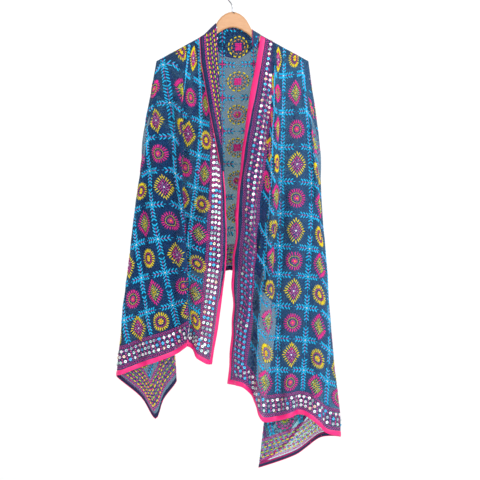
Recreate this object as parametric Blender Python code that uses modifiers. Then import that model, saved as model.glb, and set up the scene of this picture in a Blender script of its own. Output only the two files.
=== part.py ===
"""Phulkari shawl hung open over a wooden clothes hanger.

Metres, +Z up, front towards -Y. The origin is the inside of the hook's crown.
The cloth is one rectangle, 2.50 m by 0.90 m, laid over the shoulders of the
hanger. Each level section runs from the right front edge round the back to the
left front edge, through a row of fold lines that start on the hanger's arms.
"""
import math
from collections import namedtuple

import bpy
from mathutils import Vector

WALL = 0.0016           # modelled thickness of the cloth
RIBBON = 0.013          # width of the satin edging
RIBBON_WALL = 0.0010    # its thickness
CLEAR = 0.00035         # space left between pieces that touch
SEAM = 0.00035          # each stretch stops this far short of a seam

WOOD_HALF = 0.006       # half the thickness of the wood
OVER_ARM = 0.0073       # radius of the cloth's middle where it rolls over an arm
TIP_ROLL = 0.0026        # and past the arms' ends
ARM_TOP = -0.124        # height of the cloth on the arm, 60 mm from the middle
ARM_START = 0.060
ARM_SLOPE = 0.55
ARM_END = 0.211

WIRE_RADIUS = 0.00175
CROOK_RADIUS = 0.0195

BACK_HEM = -0.836       # height of the back's lower edge
BACK_FOLDS = 9          # fold lines across the back
PLEATS_START = 0.32     # share of the drop at which the side pleats open

# A fold line: where it leaves the arm, where it is a third and two thirds of
# the way down, and where it meets the hem; then its depth at the same places.
Fold = namedtuple(
    "Fold", "x_top x_upper x_lower x_hem y_upper y_lower y_hem z_hem side")

# Right front, from its inner edge to the outline of the shawl.
RIGHT_FRONT = (
    Fold(0.085, 0.028, 0.005, -0.013, -0.004, 0.004, 0.002, -1.171, -1),
    Fold(0.104, 0.076, 0.047, 0.033, -0.042, -0.050, -0.042, -1.180, -1),
    Fold(0.117, 0.101, 0.067, 0.061, -0.018, -0.024, -0.020, -1.212, -1),
    Fold(0.130, 0.126, 0.103, 0.085, -0.048, -0.056, -0.062, -1.272, -1),
    Fold(0.153, 0.144, 0.135, 0.126, -0.022, -0.028, -0.036, -1.277, -1),
    Fold(0.185, 0.190, 0.178, 0.162, -0.042, -0.052, -0.062, -1.266, -1),
    Fold(0.203, 0.232, 0.218, 0.197, -0.024, -0.030, -0.038, -1.257, -1),
    Fold(0.211, 0.244, 0.256, 0.234, -0.028, -0.042, -0.056, -1.272, -1),
    Fold(0.218, 0.254, 0.279, 0.280, -0.016, -0.028, -0.040, -1.313, -1),
    Fold(0.225, 0.262, 0.287, 0.324, -0.003, -0.008, -0.012, -1.325, -1),
)
# Right side: the return behind the front, then the pleats out to the back.
RIGHT_SIDE = (
    Fold(0.225, 0.243, 0.250, 0.262, 0.001, 0.002, 0.002, -1.330, 0),
    Fold(0.224, 0.210, 0.192, 0.189, 0.000, -0.002, -0.002, -1.380, 0),
    Fold(0.224, 0.186, 0.130, 0.083, 0.002, 0.004, 0.004, -1.419, 0),
    Fold(0.224, 0.186, 0.130, 0.083, 0.006, 0.011, 0.012, -1.416, 0),
    Fold(0.224, 0.212, 0.188, 0.176, 0.009, 0.016, 0.020, -1.337, 0),
    Fold(0.225, 0.241, 0.262, 0.287, 0.012, 0.021, 0.026, -1.158, 0),
    Fold(0.225, 0.241, 0.262, 0.287, 0.016, 0.028, 0.034, -1.132, 0),
    Fold(0.224, 0.202, 0.146, 0.098, 0.019, 0.031, 0.037, -0.905, 0),
    Fold(0.224, 0.202, 0.146, 0.098, 0.024, 0.039, 0.046, -0.889, 0),
    Fold(0.225, 0.237, 0.251, 0.261, 0.027, 0.042, 0.050, -0.824, 0),
    Fold(0.225, 0.237, 0.251, 0.261, 0.031, 0.049, 0.058, -0.820, 1),
)
# Left side, from the back: the pleats, then the return with the cloth's corner.
LEFT_SIDE = (
    Fold(-0.225, -0.251, -0.267, -0.274, 0.031, 0.049, 0.058, -0.813, 1),
    Fold(-0.225, -0.251, -0.267, -0.274, 0.027, 0.042, 0.050, -0.817, 0),
    Fold(-0.224, -0.202, -0.164, -0.128, 0.024, 0.039, 0.046, -0.826, 0),
    Fold(-0.224, -0.202, -0.164, -0.128, 0.019, 0.031, 0.037, -0.836, 0),
    Fold(-0.225, -0.248, -0.277, -0.298, 0.016, 0.028, 0.034, -0.902, 0),
    Fold(-0.225, -0.248, -0.277, -0.298, 0.012, 0.021, 0.026, -0.924, 0),
    Fold(-0.224, -0.212, -0.194, -0.180, 0.009, 0.016, 0.020, -1.086, 0),
    Fold(-0.224, -0.205, -0.186, -0.167, 0.006, 0.011, 0.014, -1.155, 0),
    Fold(-0.224, -0.205, -0.187, -0.169, 0.002, 0.004, 0.006, -1.170, 0),
    Fold(-0.224, -0.218, -0.212, -0.204, 0.002, 0.003, 0.003, -1.217, 0),
    Fold(-0.224, -0.228, -0.230, -0.228, 0.001, 0.001, 0.001, -1.275, 0),
    Fold(-0.225, -0.246, -0.264, -0.270, 0.001, 0.001, 0.001, -1.212, 0),
)
# Left front: the outer drape as far as its deep fold, then the inner strip.
LEFT_FRONT = (
    Fold(-0.225, -0.270, -0.310, -0.342, -0.003, -0.008, -0.012, -1.149, -1),
    Fold(-0.218, -0.263, -0.300, -0.327, -0.016, -0.024, -0.032, -1.141, -1),
    Fold(-0.211, -0.247, -0.270, -0.282, -0.012, -0.016, -0.018, -1.124, -1),
    Fold(-0.197, -0.220, -0.229, -0.224, -0.032, -0.040, -0.046, -1.103, -1),
    Fold(-0.178, -0.179, -0.180, -0.175, -0.014, -0.022, -0.032, -1.085, -1),
    Fold(-0.144, -0.150, -0.142, -0.133, -0.040, -0.052, -0.058, -1.055, -1),
    Fold(-0.140, -0.146, -0.138, -0.129, -0.032, -0.042, -0.048, -1.051, -1),
    Fold(-0.122, -0.160, -0.179, -0.195, -0.010, -0.012, -0.014, -1.053, -1),
    Fold(-0.099, -0.095, -0.130, -0.126, -0.012, -0.006, -0.006, -1.062, -1),
    Fold(-0.081, -0.062, -0.074, -0.105, -0.028, -0.026, -0.024, -1.094, -1),
    Fold(-0.049, -0.032, -0.018, -0.060, -0.016, -0.012, -0.008, -1.122, -1),
)
# Top of the cloth round the neck, where it stands clear of the arms.
NECK_LINE = ((-0.085, -0.1378), (-0.049, -0.102), (0.0, -0.100),
             (0.059, -0.122), (0.085, -0.1378))
# The lapel's free edge: height, and how far it reaches from the middle.
LAPEL_EDGE = ((-0.143, -0.097), (-0.215, -0.093), (-0.351, -0.070),
              (-0.443, -0.052), (-0.520, -0.037))
# The neck fold-over at the back: how far down it hangs, by place.
FOLD_OVER = ((-0.097, 0.014), (-0.060, 0.072), (0.0, 0.103),
             (0.050, 0.068), (0.086, 0.014))

ROLL_DROPS = (0.0, 0.0010, 0.0032, 0.0073)
DROP_SHARES = (0.035, 0.08, 0.16, 0.24, 0.32, 0.41, 0.50, 0.59, 0.68,
               0.77, 0.86, 0.93)


def clear_scene():
    for item in list(bpy.data.objects):
        bpy.data.objects.remove(item, do_unlink=True)


def make_collection(name):
    group = bpy.data.collections.new(name)
    bpy.context.scene.collection.children.link(group)
    return group


def make_material(name, colour, roughness, metallic=0.0):
    paint = bpy.data.materials.new(name)
    paint.use_nodes = True
    shader = paint.node_tree.nodes["Principled BSDF"]
    shader.inputs["Base Color"].default_value = (*colour, 1.0)
    shader.inputs["Roughness"].default_value = roughness
    shader.inputs["Metallic"].default_value = metallic
    paint.diffuse_color = (*colour, 1.0)
    return paint


def table_value(table, place):
    """Straight-line value of a two-column table at a place."""
    rows = sorted(table)
    if place <= rows[0][0]:
        return rows[0][1]
    for (x0, v0), (x1, v1) in zip(rows, rows[1:]):
        if place <= x1:
            return v0 + (v1 - v0) * (place - x0) / (x1 - x0)
    return rows[-1][1]


def top_height(x):
    if abs(x) < 0.085:
        return table_value(NECK_LINE, x)
    return ARM_TOP - ARM_SLOPE * (abs(x) - ARM_START)


def four_level(values, share):
    """Smooth curve through values at 0, 1/3, 2/3 and 1 of the drop."""
    a, b, c, d = values
    ends = (2 * a - b, a, b, c, d, 2 * d - c)
    place = min(max(share, 0.0), 1.0) * 3
    step = min(int(place), 2)
    f = place - step
    p0, p1, p2, p3 = ends[step:step + 4]
    return 0.5 * (2 * p1 + (p2 - p0) * f + (2 * p0 - 5 * p1 + 4 * p2 - p3) * f * f
                  + (3 * p1 - p0 - 3 * p2 + p3) * f ** 3)


def arm_share(x):
    """1 where the cloth lies over an arm, 0 beside the neck."""
    share = min(max((abs(x) - 0.056) / 0.024, 0.0), 1.0)
    return share * share * (3 - 2 * share)


def roll_depth(x_top, drop, side):
    """How far the roll over the arm carries the cloth from the middle plane."""
    tip = min(max((abs(x_top) - 0.211) / 0.014, 0.0), 1.0)
    radius = OVER_ARM + (TIP_ROLL - OVER_ARM) * tip
    if drop < radius:
        roll = math.sqrt(radius ** 2 - (radius - drop) ** 2)
    else:
        roll = radius
    roll = max(roll, SEAM + 0.0008 * tip)
    share = arm_share(x_top)
    return side * (roll * share + 0.0076 * (1 - share))


def fold_point(fold, drop):
    """Place across and in depth of a fold line, a drop below its top."""
    share = drop / (top_height(fold.x_top) - fold.z_hem)
    x = four_level((fold.x_top, fold.x_upper, fold.x_lower, fold.x_hem), share)
    y = four_level((0.0, fold.y_upper, fold.y_lower, fold.y_hem), share)
    return Vector((x, y * min(drop / 0.05, 1.0), drop))


def level_row(folds, drops, cuts):
    """One section of the cloth: smooth across its folds, and rolled over the
    arms by the place each strand of it leaves them."""
    points = [fold_point(f, d) for f, d in zip(folds, drops)]
    row = []
    for i, point in smooth_row(points, cuts):
        lo = min(int(i), len(folds) - 2)
        f = i - lo
        x_top = folds[lo].x_top * (1 - f) + folds[lo + 1].x_top * f
        side = folds[lo].side * (1 - f) + folds[lo + 1].side * f
        share = min(point.z / 0.8, 1.0)
        depth = roll_depth(x_top, point.z, side) * (1 - share)
        row.append(Vector((point.x, point.y + depth,
                           top_height(x_top) - point.z)))
    return row


def back_fold_lines():
    """Fold lines across the back, waves that grow towards the hem."""
    lines = []
    for i in range(BACK_FOLDS):
        place = 1 - 2 * (i + 1) / (BACK_FOLDS + 1)
        wave = 1 if i % 2 == 0 else -1
        wave *= 1.0 + 0.25 * math.sin(2.3 * i + 0.6)
        x_top = 0.206 * place + 0.004 * math.sin(1.9 * i)
        spread = 0.235 * place + 0.006 * math.sin(2.7 * i + 1.0)
        lines.append(Fold(x_top, 1.02 * spread, 1.05 * spread, 1.06 * spread,
                          0.030 + 0.006 * wave, 0.054 + 0.011 * wave,
                          0.070 + 0.016 * wave, BACK_HEM, 1))
    return lines


def line_drops(fold):
    drop = top_height(fold.x_top) - fold.z_hem
    return [*ROLL_DROPS, *(share * drop for share in DROP_SHARES),
            drop - RIBBON, drop]


def smooth_row(points, cuts):
    """A smooth line through a row of points; cuts gives shares of each step."""
    knots = [0.0]
    for a, b in zip(points, points[1:]):
        knots.append(knots[-1] + max((b - a).length, 1e-4) ** 0.5)
    last = len(points) - 1
    slopes = []
    for i in range(last + 1):
        lo, hi = max(i - 1, 0), min(i + 1, last)
        slopes.append((points[hi] - points[lo]) / (knots[hi] - knots[lo]))
    row = []
    for i in range(last):
        span = knots[i + 1] - knots[i]
        for f in cuts[i]:
            h00 = 2 * f ** 3 - 3 * f ** 2 + 1
            h10 = f ** 3 - 2 * f ** 2 + f
            h01 = 3 * f ** 2 - 2 * f ** 3
            h11 = f ** 3 - f ** 2
            row.append((i + f, points[i] * h00 + slopes[i] * (h10 * span)
                        + points[i + 1] * h01 + slopes[i + 1] * (h11 * span)))
    row.append((float(last), points[last].copy()))
    return row


def even_cuts(count):
    return tuple(i / count for i in range(count))


def seam_point(grid, j, at, inner, outer):
    """Where a stretch stops beside a seam: drawn back square to the seam, and
    further where the cloth bends there."""
    above, below = grid[max(j - 1, 0)][at], grid[min(j + 1, len(grid) - 1)][at]
    along = (below - above).normalized()
    step = grid[j][inner] - grid[j][at]
    across = step - along * step.dot(along)
    other = grid[j][at] - grid[j][outer]
    other -= along * other.dot(along)
    bend = min(across.angle(other, 0.0), 2.2)
    trim = CLEAR + WALL / 2 * math.tan(bend / 2)
    return grid[j][at] + step * min(trim / across.length, 0.8)


def stretch_grid(grid, lo, hi):
    """Columns lo to hi of the cloth, drawn back from the seams at both ends."""
    part = []
    for j, full in enumerate(grid):
        row = [p.copy() for p in full[lo:hi + 1]]
        if lo > 0:
            row[0] = seam_point(grid, j, lo, lo + 1, lo - 1)
        if hi < len(full) - 1:
            row[-1] = seam_point(grid, j, hi, hi - 1, hi + 1)
        part.append(row)
    return part


def grid_mesh(name, grid, flip=False):
    """Mesh of a grid of points, in triangles."""
    wide = len(grid[0])
    points = [p for row in grid for p in row]
    faces = []
    for j in range(len(grid) - 1):
        for i in range(wide - 1):
            a = j * wide + i
            b, c, d = a + 1, a + wide + 1, a + wide
            tris = ((a, b, d), (b, c, d))
            faces += [t[::-1] if flip else t for t in tris]
    mesh = bpy.data.meshes.new(name)
    mesh.from_pydata([tuple(p) for p in points], [], faces)
    mesh.update()
    return mesh


def cloth_piece(name, grid, paint, group, flip=False, wall=WALL):
    """A stretch of cloth: a sheet through the grid, given its thickness."""
    mesh = grid_mesh(name, grid, flip)
    piece = bpy.data.objects.new(name, mesh)
    group.objects.link(piece)
    solid = piece.modifiers.new("wall", "SOLIDIFY")
    solid.thickness = wall
    solid.offset = 0.0
    mesh.materials.append(paint)
    for face in mesh.polygons:
        face.use_smooth = True
    return piece


def moved_out(grid, distance):
    """The grid's points, moved along the sheet's own normals."""
    mesh = grid_mesh("moved", grid)
    normals = [v.normal.copy() for v in mesh.vertices]
    bpy.data.meshes.remove(mesh)
    wide = len(grid[0])
    return [[p + normals[j * wide + i] * distance for i, p in enumerate(row)]
            for j, row in enumerate(grid)]


def drawn(point, towards, distance):
    return point + (towards - point).normalized() * distance


def ribbon_piece(name, grid, paint, group, rows=None, cols=None, skip=(0, 0)):
    """Satin edging: the panel's own edge points, moved out on its face. It
    skips the columns inside a sharp fold."""
    out = moved_out(grid, -(WALL / 2 + CLEAR + RIBBON_WALL / 2))
    if rows:
        out = out[rows[0]:rows[1]]
    if cols:
        out = [row[cols[0]:cols[1]] for row in out]
        out[-1] = [drawn(p, q, 2 * CLEAR) for p, q in zip(out[-1], out[-2])]
        inner = 0 if cols[0] < 0 else -1
        for row in out:
            row[inner] = drawn(row[inner], row[-1 - inner], 0.0012)
    else:
        out[0] = [drawn(p, q, 0.0006) for p, q in zip(out[0], out[1])]
        out = [row[skip[0]:len(row) - skip[1]] for row in out]
        for row in out:
            row[0] = drawn(row[0], row[1], 0.0016)
            row[-1] = drawn(row[-1], row[-2], 0.0016)
    return cloth_piece(name, out, paint, group, wall=RIBBON_WALL)


def section_cuts(folds):
    """How finely each step between fold lines is cut."""
    cuts = []
    for a, b in zip(folds, folds[1:]):
        step = math.hypot(b.x_lower - a.x_lower, b.y_lower - a.y_lower)
        turn = abs(b.x_lower - a.x_lower) < 0.004
        count = 4 if step > 0.042 else 3 if turn or step > 0.018 else 2
        cuts.append(even_cuts(count))
    return cuts


def make_cloth(group, field, satin):
    """All the stretches of the shawl, cut from one run of level sections."""
    back = back_fold_lines()
    folds = [*RIGHT_FRONT, *RIGHT_SIDE, *back, *LEFT_SIDE, *LEFT_FRONT]
    cuts = section_cuts(folds)
    edge_share = 0.19
    cuts[0] = (0.0, edge_share, 0.5, 0.75)
    cuts[-1] = (0.0, 0.25, 0.45, 0.74)
    starts = [0]
    for cut in cuts:
        starts.append(starts[-1] + len(cut))
    drops = [line_drops(fold) for fold in folds]
    grid = []
    for level in range(len(drops[0])):
        grid.append(level_row(folds, [d[level] for d in drops], cuts))

    right_edge = len(RIGHT_FRONT) - 1
    right_turn = right_edge + 4
    back_right = right_edge + len(RIGHT_SIDE)
    back_left = back_right + BACK_FOLDS + 1
    left_turn = back_left + 7
    left_edge = back_left + len(LEFT_SIDE)
    deep_fold = left_edge + 7
    last = len(folds) - 1
    open_row = len(ROLL_DROPS) + DROP_SHARES.index(PLEATS_START)
    stretches = (
        ("right_front", 0, right_edge, 0),
        ("right_return", right_edge, right_turn, open_row),
        ("right_side_pleats", right_turn, back_right, open_row),
        ("back_panel", back_right, back_left, 0),
        ("left_side_pleats", back_left, left_turn, open_row),
        ("left_return", left_turn, left_edge, open_row),
        ("left_drape", left_edge, deep_fold, 0),
        ("left_strip", deep_fold, last, 0),
    )
    for name, lo, hi, first_row in stretches:
        part = stretch_grid(grid[first_row:], starts[lo], starts[hi])
        cloth_piece(name, part, field, group)
        part_ribbons(name, part, satin, group)
    make_arm_end("right_arm_end", grid[:open_row + 1], starts[right_edge],
                 starts[back_right], field, group)
    make_arm_end("left_arm_end", grid[:open_row + 1], starts[left_edge],
                 starts[back_left], field, group)
    return back


def make_arm_end(name, grid, front, rear, field, group):
    """The cloth between front and back, above where the pleats open. Its lower
    edge rises towards the back, clear of the pleats."""
    part = []
    for full in grid[2:]:
        a, b = full[front], full[rear]
        out = Vector((math.copysign((b - a).length * 0.09, a.x), 0.0, 0.0))
        keep = min(0.0013 / (b - a).length, 0.3)
        row = []
        for i in range(5):
            f = keep + (1 - 2 * keep) * i / 4
            row.append(a.lerp(b, f) + out * math.sin(math.pi * f))
        part.append(row)
    above = part[-2]
    for i, reach in enumerate((0.96, 0.82, 0.64, 0.46, 0.28)):
        part[-1][i] = above[i].lerp(part[-1][i], reach)
    cloth_piece(name, part, field, group)


def part_ribbons(name, part, satin, group):
    """The edging on one stretch: along its hem, and down a front edge."""
    if name == "right_front":
        ribbon_piece("edging_right_front", part, satin, group,
                     rows=(1, len(part) - 1), cols=(0, 2))
    if name == "left_strip":
        ribbon_piece("edging_left_front", part, satin, group,
                     rows=(9, len(part) - 1), cols=(-2, None))
    skip = {"left_drape": (0, 1), "left_strip": (1, 0)}
    ribbon_piece("edging_hem_" + name, part, satin, group,
                 rows=(len(part) - 2, len(part)), skip=skip.get(name, (0, 0)))


def make_fold_over(group, back, field):
    """The neck edge, turned down outside the back."""
    lines = [f for f in back if -0.08 < f.x_top < 0.07]
    left = Fold(-0.094, -0.100, -0.104, -0.104, 0.030, 0.054, 0.070, BACK_HEM, 1)
    right = Fold(0.083, 0.090, 0.094, 0.094, 0.030, 0.054, 0.070, BACK_HEM, 1)
    lines = [right, *lines, left]
    levels = 5
    grid = []
    for level in range(levels + 1):
        drops = [max(table_value(FOLD_OVER, line.x_top) * level / levels, 0.0004)
                 for line in lines]
        row = level_row(lines, drops, [even_cuts(4)] * (len(lines) - 1))
        lift = Vector((0.0, 0.0042 + 0.003 * level / levels, 0.0022 * (level == 0)))
        grid.append([point + lift for point in row])
    cloth_piece("neck_fold_over", grid, field, group)
    return grid


def make_lapel(group, field):
    """The left front's neck edge, folded out over the strip."""
    lines = LEFT_FRONT[-3:][::-1]
    grid = []
    rows = len(LAPEL_EDGE) * 2 - 1
    for level in range(rows):
        place = level / 2
        lo = int(place)
        hi = min(lo + 1, len(LAPEL_EDGE) - 1)
        f = place - lo
        z_edge = LAPEL_EDGE[lo][0] * (1 - f) + LAPEL_EDGE[hi][0] * f
        x_edge = LAPEL_EDGE[lo][1] * (1 - f) + LAPEL_EDGE[hi][1] * f
        drops = []
        for line in lines:
            drop = max(top_height(line.x_top) - z_edge, 0.002)
            drops.append(drop if level else 0.002)
        fine = level_row(lines, drops, [even_cuts(12)] * 2)
        inner = fine[0].x
        row = []
        for i in range(6):
            x = inner + (x_edge - inner) * i / 5
            near = min(range(len(fine) - 1), key=lambda k: abs(fine[k].x - x))
            near = min(near, len(fine) - 2)
            a, b = fine[near], fine[near + 1]
            g = min(max((x - a.x) / (b.x - a.x), -0.5), 1.5)
            point = a + (b - a) * g
            row.append(point + Vector((0.0, -0.0032 - 0.0012 * i, 0.0)))
        grid.append(row)
    cloth_piece("left_lapel", grid, field, group, flip=True)
    return grid


def make_neck_turn(group, field):
    """The short turn of cloth that comes over the right arm beside the neck."""
    grid = []
    for level in range(6):
        row = []
        for i in range(5):
            x = 0.0585 + 0.0235 * i / 4
            top = top_height(x)
            drop = (0.0, 0.001, 0.0035, 0.009, 0.025, 0.046)[level]
            y = roll_depth(x, drop, -1) - 0.0003
            lean = 0.20 * drop * (i / 4)
            row.append(Vector((x - lean, y, top - drop)))
        grid.append(row)
    cloth_piece("right_neck_turn", grid, field, group, flip=True)


def wood_outline():
    """Half outline of the hanger's wood, from the middle of its top."""
    top = [(0.0, -0.0684), (0.010, -0.0697), (0.021, -0.0742), (0.033, -0.083),
           (0.042, -0.0935), (0.049, -0.1055), (0.055, -0.1175), (0.064, -0.1282)]
    drop = 0.0028
    tip = top_height(ARM_END - 0.010) - drop
    top += [(0.120, top_height(0.120) - drop), (ARM_END - 0.010, tip)]
    round_tip = [(ARM_END - 0.0035, tip - 0.0045), (ARM_END, tip - 0.0115),
                 (ARM_END - 0.0025, tip - 0.0185), (ARM_END - 0.0085, tip - 0.0230),
                 (ARM_END - 0.0175, tip - 0.0230)]
    under = [(0.120, -0.1800), (0.058, -0.1460), (0.044, -0.1326),
             (0.025, -0.1210), (0.010, -0.1155), (0.0, -0.1145)]
    return top, round_tip, under


def make_hanger(group, cutters, wood, steel):
    """The wooden bow and its wire hook."""
    top, tip, under = wood_outline()
    right = top + tip + under
    outline = right + [(-x, z) for x, z in reversed(right[1:-1])]
    curve = bpy.data.curves.new("hanger_wood", "CURVE")
    curve.dimensions = "2D"
    curve.fill_mode = "BOTH"
    curve.extrude = WOOD_HALF
    line = curve.splines.new("POLY")
    line.points.add(len(outline) - 1)
    for point, (x, z) in zip(line.points, outline):
        point.co = (x, z, 0.0, 1.0)
    line.use_cyclic_u = True
    flat = bpy.data.objects.new("hanger_outline", curve)
    flat.rotation_euler = (math.pi / 2, 0.0, 0.0)
    group.objects.link(flat)
    bpy.context.view_layer.update()
    ready = flat.evaluated_get(bpy.context.evaluated_depsgraph_get())
    mesh = bpy.data.meshes.new_from_object(ready)
    bow = bpy.data.objects.new("hanger_wood", mesh)
    bow.matrix_world = flat.matrix_world.copy()
    group.objects.link(bow)
    bpy.data.objects.remove(flat)
    mesh.materials.clear()
    mesh.materials.append(wood)
    weld = bow.modifiers.new("weld", "WELD")
    weld.merge_threshold = 0.00001
    rounding = bow.modifiers.new("rounding", "BEVEL")
    rounding.width = 0.0045
    rounding.segments = 3
    rounding.use_clamp_overlap = False
    rounding.limit_method = "ANGLE"
    rounding.angle_limit = math.radians(60)
    bpy.ops.mesh.primitive_cylinder_add(
        vertices=24, radius=WIRE_RADIUS + CLEAR, depth=0.050,
        location=(0.0, 0.0, -0.0684))
    drill = bpy.context.object
    drill.name = "hook_hole"
    for owner in list(drill.users_collection):
        owner.objects.unlink(drill)
    cutters.objects.link(drill)
    drill.hide_render = True
    drill.display_type = "WIRE"
    bore = bow.modifiers.new("hook hole", "BOOLEAN")
    bore.operation = "DIFFERENCE"
    bore.solver = "EXACT"
    bore.object = drill
    make_hook(group, steel)


def make_hook(group, steel):
    """Wire hook: a straight stem, bent over to the left into the crook."""
    centre = WIRE_RADIUS - CROOK_RADIUS
    path = [(0.0, -0.0925), (0.0, -0.0700), (0.0, -0.0530), (-0.0012, -0.0485),
            (-0.0042, -0.0425)]
    for step in range(15):
        angle = math.radians(232 - step * 268 / 14)
        path.append((CROOK_RADIUS * math.cos(angle),
                     centre + CROOK_RADIUS * math.sin(angle)))
    curve = bpy.data.curves.new("hanger_hook", "CURVE")
    curve.dimensions = "3D"
    curve.bevel_depth = WIRE_RADIUS
    curve.bevel_resolution = 2
    curve.use_fill_caps = True
    line = curve.splines.new("POLY")
    line.points.add(len(path) - 1)
    for point, (x, z) in zip(line.points, path):
        point.co = (x, 0.0, z, 1.0)
    line.use_smooth = True
    hook = bpy.data.objects.new("hanger_hook", curve)
    hook.data.materials.append(steel)
    group.objects.link(hook)


def main():
    clear_scene()
    group = make_collection("phulkari_shawl_on_hanger")
    cutters = make_collection("cutters")
    field = make_material("teal_chiffon", (0.03, 0.09, 0.15), 0.85)
    satin = make_material("pink_satin", (0.80, 0.03, 0.25), 0.45)
    wood = make_material("beech", (0.72, 0.47, 0.27), 0.5)
    steel = make_material("steel_wire", (0.55, 0.55, 0.55), 0.3, 1.0)
    make_hanger(group, cutters, wood, steel)
    back = make_cloth(group, field, satin)
    make_fold_over(group, back, field)
    make_lapel(group, field)
    make_neck_turn(group, field)


main()
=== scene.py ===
"""Phulkari shawl hung open over a wooden clothes hanger: the looks of each piece.

Metres, +Z up, front towards -Y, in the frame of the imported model. The shawl is
one rectangle of navy chiffon, 2.50 m by 0.90 m. Every point of it has a place on
the flat cloth: u runs along its length from the middle of the hanger, and v runs
across it from the neck edge. The folds are laid out in space, and the embroidery
is worked out on the flat cloth and carried onto them.
"""

import math
import random
from collections import namedtuple

import bpy
import numpy as np
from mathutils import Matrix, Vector
from mathutils.bvhtree import BVHTree


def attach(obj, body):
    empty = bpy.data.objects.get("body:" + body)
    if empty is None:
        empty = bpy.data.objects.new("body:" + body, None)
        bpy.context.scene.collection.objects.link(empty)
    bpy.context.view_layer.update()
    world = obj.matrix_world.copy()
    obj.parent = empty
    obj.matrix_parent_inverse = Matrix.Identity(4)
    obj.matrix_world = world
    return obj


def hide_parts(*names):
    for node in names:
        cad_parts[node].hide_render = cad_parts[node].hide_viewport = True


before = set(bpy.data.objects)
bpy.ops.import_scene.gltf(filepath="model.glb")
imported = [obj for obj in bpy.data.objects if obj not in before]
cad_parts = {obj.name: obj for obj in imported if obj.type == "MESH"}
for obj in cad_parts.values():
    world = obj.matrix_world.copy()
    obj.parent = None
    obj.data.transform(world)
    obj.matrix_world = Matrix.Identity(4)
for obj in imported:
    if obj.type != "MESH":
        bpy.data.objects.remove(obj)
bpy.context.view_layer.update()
CHANCE = random.Random(11)

# ---------------------------------------------------------------- sizes
SHELL = 0.0008          # thickness of the shown cloth
EDGING = 0.013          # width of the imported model's satin edging
OVER_ARM = 0.0073       # radius of the cloth's middle where it rolls over an arm
TIP_ROLL = 0.0026       # and past the arms' ends
BESIDE_NECK = 0.0076    # depth of the cloth where no arm carries it
ARM_PLACE = (0.056, 0.080)      # where across the cloth comes onto an arm
TIP_PLACE = (0.211, 0.225)      # and where that arm tapers to its tip
ARM_TOP = -0.124        # height of the cloth on the arm, 60 mm from the middle
ARM_START = 0.060
ARM_SLOPE = 0.55
BACK_HEM = -0.836       # height of the back's lower edge
BACK_FOLDS = 9          # fold lines across the back
BACK_TOP = 0.206        # half the back's width at its top
BACK_SPREAD = 0.235     # and lower down
# The back's depth, and how far its folds stand out of it, a third and two
# thirds of the way down and at the hem.
BACK_DEPTHS = (0.030, 0.054, 0.070)
BACK_WAVES = (0.006, 0.011, 0.016)
PLEATS_START = 0.32     # share of the drop at which the side pleats open

U_LEFT = -1.13          # the cloth's ends, along its length
U_RIGHT = 1.37
WIDTH = 0.90
BORDER = 0.078          # width of the sequined border
ARM_END_FLAT = ((0.26, 0.36), (-0.255, 0.34))   # flat place of the hanger's two tips

# A fold line: where it leaves the arm, where it is a third and two thirds of
# the way down, and where it meets the hem; then its depth at the same places.
Fold = namedtuple(
    "Fold", "x_top x_upper x_lower x_hem y_upper y_lower y_hem z_hem side")

# Right front, from its inner edge to the outline of the shawl.
RIGHT_FRONT = (
    Fold(0.085, 0.028, 0.005, -0.013, -0.004, 0.004, 0.002, -1.171, -1),
    Fold(0.104, 0.076, 0.047, 0.033, -0.042, -0.050, -0.042, -1.180, -1),
    Fold(0.117, 0.101, 0.067, 0.061, -0.018, -0.024, -0.020, -1.212, -1),
    Fold(0.130, 0.126, 0.103, 0.085, -0.048, -0.056, -0.062, -1.272, -1),
    Fold(0.153, 0.144, 0.135, 0.126, -0.022, -0.028, -0.036, -1.277, -1),
    Fold(0.185, 0.190, 0.178, 0.162, -0.042, -0.052, -0.062, -1.266, -1),
    Fold(0.203, 0.232, 0.218, 0.197, -0.024, -0.030, -0.038, -1.257, -1),
    Fold(0.211, 0.244, 0.256, 0.234, -0.028, -0.042, -0.056, -1.272, -1),
    Fold(0.218, 0.254, 0.279, 0.280, -0.016, -0.028, -0.040, -1.313, -1),
    Fold(0.225, 0.262, 0.287, 0.324, -0.003, -0.008, -0.012, -1.325, -1),
)
# Right side: the return behind the front, then the pleats out to the back.
RIGHT_SIDE = (
    Fold(0.225, 0.243, 0.250, 0.262, 0.001, 0.002, 0.002, -1.330, 0),
    Fold(0.224, 0.210, 0.192, 0.189, 0.000, -0.002, -0.002, -1.380, 0),
    Fold(0.224, 0.186, 0.130, 0.083, 0.002, 0.004, 0.004, -1.419, 0),
    Fold(0.224, 0.186, 0.130, 0.083, 0.006, 0.011, 0.012, -1.416, 0),
    Fold(0.224, 0.212, 0.188, 0.176, 0.009, 0.016, 0.020, -1.337, 0),
    Fold(0.225, 0.241, 0.262, 0.287, 0.012, 0.021, 0.026, -1.158, 0),
    Fold(0.225, 0.241, 0.262, 0.287, 0.016, 0.028, 0.034, -1.132, 0),
    Fold(0.224, 0.202, 0.146, 0.098, 0.019, 0.031, 0.037, -0.905, 0),
    Fold(0.224, 0.202, 0.146, 0.098, 0.024, 0.039, 0.046, -0.889, 0),
    Fold(0.225, 0.237, 0.251, 0.261, 0.027, 0.042, 0.050, -0.824, 0),
    Fold(0.225, 0.237, 0.251, 0.261, 0.031, 0.049, 0.058, -0.820, 1),
)
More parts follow.
